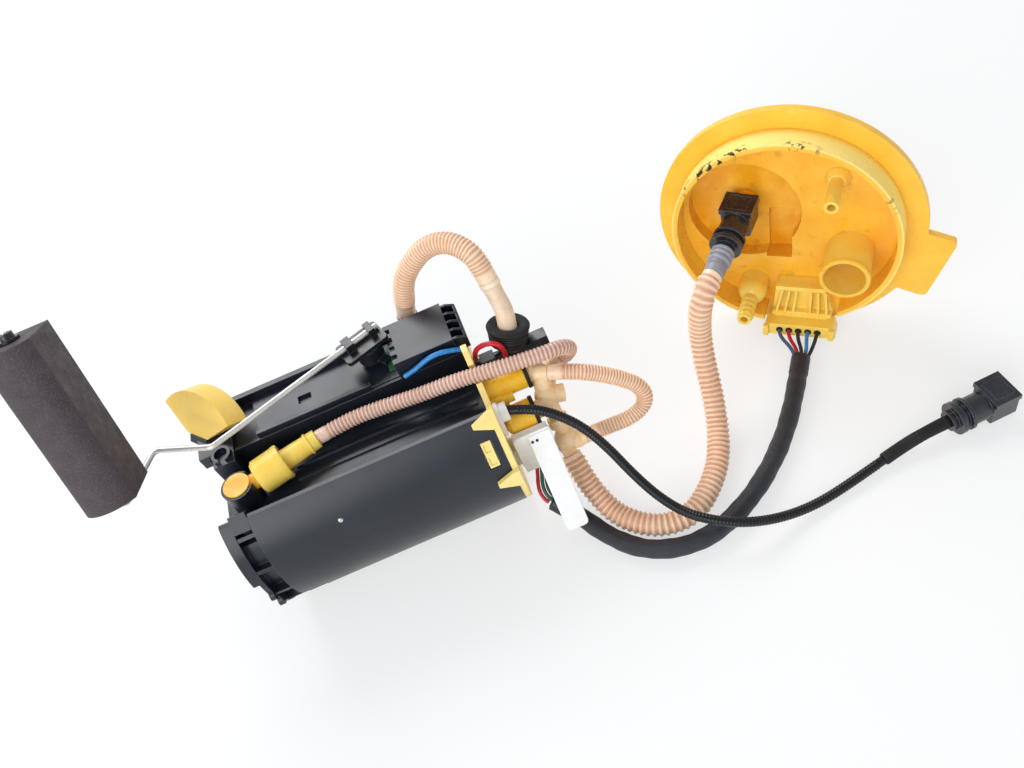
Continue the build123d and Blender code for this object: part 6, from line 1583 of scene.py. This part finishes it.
@dataclass
class TankLid(Assembly):
    """The round tank lid: flange, ring, nipples, filler and harness plug.

    Attributes:
        filler_at: where the filler stands, across and up, in mm.
        filler_top: height of its rim, in mm.
        filler_radii: outer and inner radius, in mm.
        plug_at: middle of the harness plug, across and up, in mm.
        ribs: places for ribs on the plug; the middle one is left open.
        rib_span: distance from the first rib to the last, in mm.
        rib_width: in mm.
        bar_top: height of the bar that the leads leave, in mm.
    """

    filler_at: tuple[float, float] = (31.5, -14.5)
    filler_top: float = 23.0
    filler_radii: tuple[float, float] = (11.8, 10.2)
    plug_at: tuple[float, float] = (9.0, -45.0)
    ribs: int = 7
    rib_span: float = 26.4
    rib_width: float = 1.5
    bar_top: float = 16.2

    def build(self) -> None:
        """Dress the nodes, and add the filler's lip and the harness plug."""
        self.wear(LID_AMBER, "lid_flange", "lid_ring")
        self.wear(LID_PALE, "lid_filler", "lid_nipples")
        self.wear(PIN_TIN, "lid_terminals")
        self.set_lip()
        self.set_plug()
        self.set_bar()

    def set_plug(self) -> None:
        """Build the harness plug's flared body, with slanted ribs in two windows."""
        body = LID.moved(*self.plug_at, 0.0)
        flare = [(-16, -10.5), (16, -10.5), (12.5, 10.5), (-13.5, 10.5)]
        shape = Shape()
        shape.slab(body, softened(flare, (1, 1, 2, 2)), 0.05, 6.4)
        for low, high in ((-10.5, -7.3), (7.6, 10.5)):
            left = [-15.6 + (level + 10.5) * 0.11 for level in (low, high)]
            right = [15.6 - (level + 10.5) * 0.16 for level in (low, high)]
            frame_bar = [(left[0], low), (right[0], low), (right[1], high), (left[1], high)]
            shape.slab(body, frame_bar, 6.0, 9.8)
        for rib in range(self.ribs):
            if rib == self.ribs // 2:
                continue
            foot = self.rib_span * (rib / (self.ribs - 1) - 0.5)
            head = foot * 0.84 + 1.3
            half = self.rib_width / 2
            slant = [(foot - half, -8), (foot + half, -8), (head + half, 8), (head - half, 8)]
            shape.slab(body, slant, 6.0, 10.6)
        self.own(shape.piece("harness_plug_body", bevel=0.3), LID_PALE, stands_for=("lid_harness_plug",))

    def set_bar(self) -> None:
        """Build the bar that the leads leave, with an ear at each end and a rubber seal round each lead."""
        foot = [(-19.5, -3.9), (19.5, -3.9), (17.6, 3.7), (-17.6, 3.7)]
        shape = Shape()
        shape.slab(PLUG_BAR, softened(foot, (1.2, 1.2, 0.8, 0.8)), 5.0, self.bar_top)
        shape.slab(PLUG_BAR, [(-14, 3.4), (14, 3.4), (14, 6.2), (-14, 6.2)], 5.2, 9.2)
        for middle in (-17.2, 17.2):
            near, far = middle - 1.4, middle + 1.4
            ear = [(near, -3.6), (far, -3.6), (far, 3.6), (near, 3.6)]
            shape.slab(PLUG_BAR, ear, self.bar_top - 0.4, self.bar_top + 2.2)
        self.own(shape.piece("harness_plug_bar", bevel=0.4), LID_PALE)
        outline = [(-0.2, 1.9), (0.5, 1.8), (0.8, 1.5), (0.8, 1.0), (-0.2, 0.95), (-0.2, 1.9)]
        for index in range(PLUG_LEADS):
            across = PLUG_LEAD_STEP * (index - PLUG_LEADS // 2)
            seal = Shape()
            seal.turned(PLUG_BAR.moved(across, 0, self.bar_top), outline, 20)
            self.own(seal.piece(f"plug_seal_{index + 1}"), RUBBER_BLACK)

    def set_lip(self) -> None:
        """Set a rounded lip on the filler."""
        outer, inner = self.filler_radii
        top = self.filler_top
        outline = [
            (top - 2.2, outer), (top - 2.0, outer + 0.5), (top - 0.3, outer + 0.6), (top + 0.35, outer + 0.1),
            (top + 0.35, inner + 0.4), (top - 0.2, inner), (top - 1.0, inner), (top - 2.2, outer),
        ]
        shape = Shape()
        shape.turned(LID.moved(*self.filler_at, 0), outline, 64)
        self.own(shape.piece("lid_filler_lip"), LID_AMBER)


# ---- the module's hoses and leads -----------------------------------------------------------------
FEED_LINE = (
    (-47, 33.5, 88), (-44.5, 33, 99), (-40, 32.5, 112), (-31.5, 32, 121), (-22, 30, 127.5), (-12.5, 25, 129),
    (-6, 17.5, 126.5), (-3, 11.5, 122), (-2, 7.5, 112),
)
JET_LINE = (
    (-109.04, -15.52, 81.8), (-91.5, -13, 82.5), (-72.5, -15, 83), (-54, -18.5, 84.5), (-35.5, -21.5, 87),
    (-18.5, -25, 88), (-2.5, -26.5, 87), (10.5, -26.5, 85.5), (18.5, -24, 82), (22.5, -20.5, 75),
    (20, -17, 67), (13.5, -14.5, 61),
)
LINK_LINE = (
    (7.6, -28, 73), (18, -33.5, 73.5), (29, -35.5, 67), (39, -38, 59.2), (46.2, -41, 52.5), (48.2, -44, 46),
    (44.5, -46.4, 40.4), (35, -48, 38.6), (24, -46.8, 38.2), (13.5, -45.5, 36.5),
)
RETURN_LINE = (
    (2.5, -46.8, 28.5), (3.5, -54.5, 21), (6, -63.5, 13), (11, -76, 7), (20, -87, 6.5), (31.5, -93.8, 6.5),
    (46, -93.8, 6.5), (58.5, -85.5, 6.5), (70.5, -72, 6.5), (78.3, -56.2, 9), (83.1, -42, 20),
    (85.2, -30.5, 34.5), (87.4, -23.5, 46.5), (88.8, -21.8, 55.5), (90, -21.5, 63.5), (93, -20.3, 70),
    (97, -17, 73.8), (101.85, -13.54, 74.08),
)
AUX_LINE = (
    (-20.5, -38.4, 72.8), (-8, -42.3, 71.3), (2.5, -46.5, 64.5), (12, -52.5, 55), (19.5, -62, 44),
    (25.5, -74.5, 33.5), (32, -87, 26), (40.5, -98.5, 20.6), (51, -108, 19.8), (64, -113.5, 15.5),
    (80.5, -115, 8.5), (99, -114, 3.6), (119, -111, 3.2), (141.5, -106.5, 4.4),
)
RED_LINE = (
    (-22.6, -11.5, 84.5), (-22, -12.5, 91), (-16.5, -14.5, 95.5), (-10.5, -18, 96.5), (-8, -18.2, 91),
    (-8.7, -18.3, 84.8), (-8, -18.5, 78.5),
)
BLUE_LINE = (
    (-58, -7.5, 89), (-52, -7.6, 90.5), (-46.5, -8.1, 93.8), (-40.5, -8.2, 95.5), (-33.5, -8.5, 95),
    (-27, -8, 91.5),
)


@dataclass
class Plumbing(Assembly):
    """Every hose and jumper wire of the module, with the sleeves on their ends.

    Attributes:
        jumper: diameter of a jumper wire, in mm.
    """

    jumper: float = 2.6

    def build(self) -> None:
        """Make the hoses, their sleeves and the two jumpers."""
        self.feed()
        self.jet_and_link()
        self.return_line()
        self.aux_line()
        for name, points, length, finish in (
            ("red_wire", RED_LINE, 38.2, LEAD_RED), ("blue_wire", BLUE_LINE, 33.0, LEAD_BLUE),
        ):
            piece, route = Lead(self.nodes, name + "_lead", points, self.jumper, finish, name).build()
            declare(piece, route)

    def feed(self) -> None:
        """Make the feed hose and the shrunk neck at its end."""
        end, before = Vector(FEED_LINE[-1]), Vector(FEED_LINE[-2])
        lean = Vector(CUP.out)
        mouth = Vector(CUP.foot) + lean * CUP_HEIGHT
        neck = Sleeve(
            self.nodes, "feed_neck", "feed_cuff",
            (
                tuple(end), tuple(end + (end - before).normalized() * 8), tuple(mouth + lean * 6),
                tuple(mouth - lean * 8),
            ),
            (
                (0, 4.9), (1, 5.3), (2.4, 5.3), (3, 4.7), (7, 4.5), (12, 4.6), (20, 4.7), (22, 4.9),
                (27, 4.9), (28, 4.5),
            ),
            NECK_CREAM,
        ).build()
        RibbedHose(
            self.nodes, node="feed_hose", points=FEED_LINE, diameter=11.0, length=88.1, finish=HOSE_FEED,
            pitch=1.7, depth=0.55, ends=(9.0, 6.0), neck=5.1, stiffness=Stiffness.STIFF,
            carries=(neck.name,),
        ).build()

    def jet_and_link(self) -> None:
        """Make the hose along the pot's groove and the one between the branches."""
        RibbedHose(
            self.nodes, node="jet_hose", points=JET_LINE, diameter=7.8, length=156.3, finish=HOSE_JET,
            pitch=2.0, depth=0.5, ends=(7.0, 8.0), neck=3.7, sides=28,
        ).build()
        RibbedHose(
            self.nodes, node="link_hose", points=LINK_LINE, diameter=8.4, length=92.7, finish=HOSE_LINK,
            pitch=1.6, depth=0.5, ends=(8.0, 8.0), neck=3.9, sides=28,
        ).build()

    def return_line(self) -> None:
        """Make the return hose to the lid, with the ringed grey cuff on its connector."""
        start = OUTLET.moved(0, 0, 39.0)
        cuff = Sleeve(
            self.nodes, "return_ringed_cuff", "return_cuff",
            (start.foot, start.moved(0, 0, 5).foot, start.moved(0, 0, 11).foot, start.moved(0, 0, 16).foot),
            (
                (0, 5.6), (0.5, 6.0), (1.6, 6.0), (2.1, 5.2), (3.0, 5.2), (3.5, 6.1), (4.8, 6.1),
                (5.3, 5.2), (6.2, 5.2), (6.7, 6.0), (7.8, 6.0), (8.4, 5.1), (10.6, 5.0), (11.2, 5.4),
                (15.4, 5.3), (16, 4.9),
            ),
            CUFF_GREY,
        ).build()
        RibbedHose(
            self.nodes, node="return_hose", points=RETURN_LINE, diameter=12.0, length=216.8,
            finish=HOSE_RETURN, pitch=2.9, depth=0.95, ends=(3.0, 3.0), neck=5.2, carries=(cuff.name,),
            sides=40,
        ).build()

    def aux_line(self) -> None:
        """Make the thin black line, with the sleeve that holds the free connector's stem."""
        end, before = Vector(AUX_LINE[-1]), Vector(AUX_LINE[-2])
        sleeve = Sleeve(
            self.nodes, "aux_stem_sleeve", "aux_sleeve",
            (
                tuple(end), tuple(end + (end - before).normalized() * 11.5), (165.56, -104.12, 8.7),
                (177.04, -103.55, 8.7),
            ),
            ((0, 2.8), (0.6, 3.2), (16, 3.2), (24, 3.1), (32, 3.25), (35.6, 3.25), (36.2, 2.9)),
            RUBBER_BLACK,
        ).build()
        carried = (sleeve.name, "free_connector", "free_connector_latch", "free_connector_seal")
        RibbedHose(
            self.nodes, node="aux_line", points=AUX_LINE, diameter=5.0, length=214.4, finish=HOSE_AUX,
            pitch=1.6, depth=0.2, ends=(7.0, 4.0), neck=2.35, far_end=FarEnd.CONNECTOR, carries=carried,
            sides=22,
        ).build()


# ---- studio ---------------------------------------------------------------------------------------
@dataclass
class Studio:
    """The floor, the world, the soft lamps and the camera.

    Attributes:
        floor_half: half the floor's width, in metres.
        floor_share: share of the floor that shows plain white to the camera, above its shadows.
        eye: where the camera stands, in metres.
        back: the direction that the camera looks away from.
        right: the camera's right.
        lens: focal length, in mm.
        sensor: width of the sensor, in mm.
        key_brightness: how bright the key lamp's face is; 1 is white.
        front_brightness: the same of the front lamp.
        horizon: strength of the world's light at the horizon.
        overhead: its strength overhead.
        sky_top: the height, of 1, from which the sky is as overhead.
        sky_colour: the world's colour.
        floor_colour: the floor's colour.
        aim: where the lamps look, in metres.
        clip: the nearest and the farthest that the camera sees, in metres.
    """

    floor_half: float = 3.0
    floor_share: float = 0.62
    eye: Spot = (-0.0171, -0.2927, 0.4104)
    back: Spot = (0.0, -0.6428, 0.7660)
    right: Spot = (0.9184, -0.303, -0.2543)
    lens: float = 31.64
    sensor: float = 36.0
    key_brightness: float = 5.9
    front_brightness: float = 3.3
    horizon: float = 0.95
    overhead: float = 0.42
    sky_top: float = 0.9
    sky_colour: Sequence[float] = (0.93, 0.97, 1.0, 1)
    floor_colour: Sequence[float] = (0.86, 0.87, 0.88, 1)
    aim: Spot = (0.0, 0.0, 0.04)
    clip: tuple[float, float] = (0.01, 20.0)

    def build(self) -> None:
        """Set the studio up."""
        self.lay_floor()
        self.light_world()
        self.hang_lamp("key_lamp", (-0.20, 0.85, 0.95), (0.9, 0.6), self.key_brightness)
        self.hang_lamp("front_lamp", (-0.75, -0.9, 0.75), (1.0, 1.0), self.front_brightness)
        self.set_camera()

    def lay_floor(self) -> None:
        """Lay a pale floor that keeps the shadows."""
        shape = Shape()
        half = self.floor_half
        sheet = ((-half, -half), (half, -half), (half, half), (-half, half))
        shape.cap([shape.corner(Vector((x, y, -FLOOR_DROP))) for x, y in sheet])
        floor = shape.piece("studio_floor", smooth=False)
        paper = bpy.data.materials.new("studio_paper")
        tree = Tree(paper)
        diffuse, glow = tree.add("ShaderNodeBsdfDiffuse"), tree.add("ShaderNodeEmission")
        diffuse.inputs["Color"].default_value = self.floor_colour
        glow.inputs["Color"].default_value = WHITE
        rays = tree.add("ShaderNodeLightPath").outputs
        seen = tree.maths("MAXIMUM", rays["Is Camera Ray"], rays["Is Transmission Ray"])
        seen = tree.maths("MAXIMUM", seen, rays["Is Glossy Ray"])
        share = tree.maths("MULTIPLY", seen, self.floor_share)
        tree.blend(share, diffuse, glow, "ShaderNodeOutputMaterial")
        floor.data.materials.append(paper)

    def light_world(self) -> None:
        """Light the world softly, brighter at the horizon than overhead, and white where it is seen."""
        world = bpy.data.worlds.new("studio_world")
        bpy.context.scene.world = world
        tree = Tree(world)
        height = tree.parts(tree.add("ShaderNodeTexCoord").outputs["Generated"])["Z"]
        soft, white = tree.add("ShaderNodeBackground"), tree.add("ShaderNodeBackground")
        soft.inputs["Color"].default_value = self.sky_colour
        white.inputs["Color"].default_value = WHITE
        strength = tree.band(height, 0.0, self.sky_top, self.horizon, self.overhead)
        tree.link(strength, soft.inputs["Strength"])
        rays = tree.add("ShaderNodeLightPath").outputs
        tree.blend(rays["Is Camera Ray"], soft, white, "ShaderNodeOutputWorld")

    def hang_lamp(self, name: str, place: Spot, size: tuple[float, float], brightness: float) -> None:
        """Hang a soft lamp that looks at the module.

        Args:
            name: the lamp's name.
            place: in metres.
            size: width and height, in metres.
            brightness: how bright its face is; 1 is white.
        """
        lamp = bpy.data.lights.new(name, "AREA")
        lamp.shape = "RECTANGLE"
        lamp.size, lamp.size_y = size
        lamp.energy = pi * size[0] * size[1] * brightness
        holder = bpy.data.objects.new(name, lamp)
        holder.location = place
        holder.rotation_euler = (Vector(place) - Vector(self.aim)).to_track_quat("Z", "Y").to_euler()
        bpy.context.scene.collection.objects.link(holder)

    def set_camera(self) -> None:
        """Stand the camera, tilted and rolled."""
        camera = bpy.data.cameras.new("camera")
        camera.lens = self.lens
        camera.sensor_width = self.sensor
        camera.clip_start, camera.clip_end = self.clip
        holder = bpy.data.objects.new("camera", camera)
        back = Vector(self.back).normalized()
        right = Vector(self.right)
        right = (right - back * right.dot(back)).normalized()
        turn = Matrix((right, back.cross(right), back)).transposed()
        holder.matrix_world = Matrix.Translation(Vector(self.eye)) @ turn.to_4x4()
        bpy.context.scene.collection.objects.link(holder)
        bpy.context.scene.camera = holder


def main(nodes: dict[str, bpy.types.Object]) -> None:
    """Build and dress the module.

    Args:
        nodes: the CAD nodes by name.
    """
    logging.basicConfig(level=logging.INFO, format="%(name)s: %(message)s")
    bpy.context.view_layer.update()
    bpy.context.scene.view_settings.view_transform = "Standard"
    Studio().build()
    Plumbing(nodes).build()
    Loom(nodes).build()
    Reservoir(nodes).build()
    Pump(nodes).build()
    LevelSender(nodes).build()
    ReturnValve(nodes).build()
    MouthFittings(nodes).build()
    QuickConnector(nodes, "lid_connector").build()
    QuickConnector(nodes, "free_connector").build()
    TankLid(nodes).build()


if __name__ == "__main__":
    main(frame["nodes"])
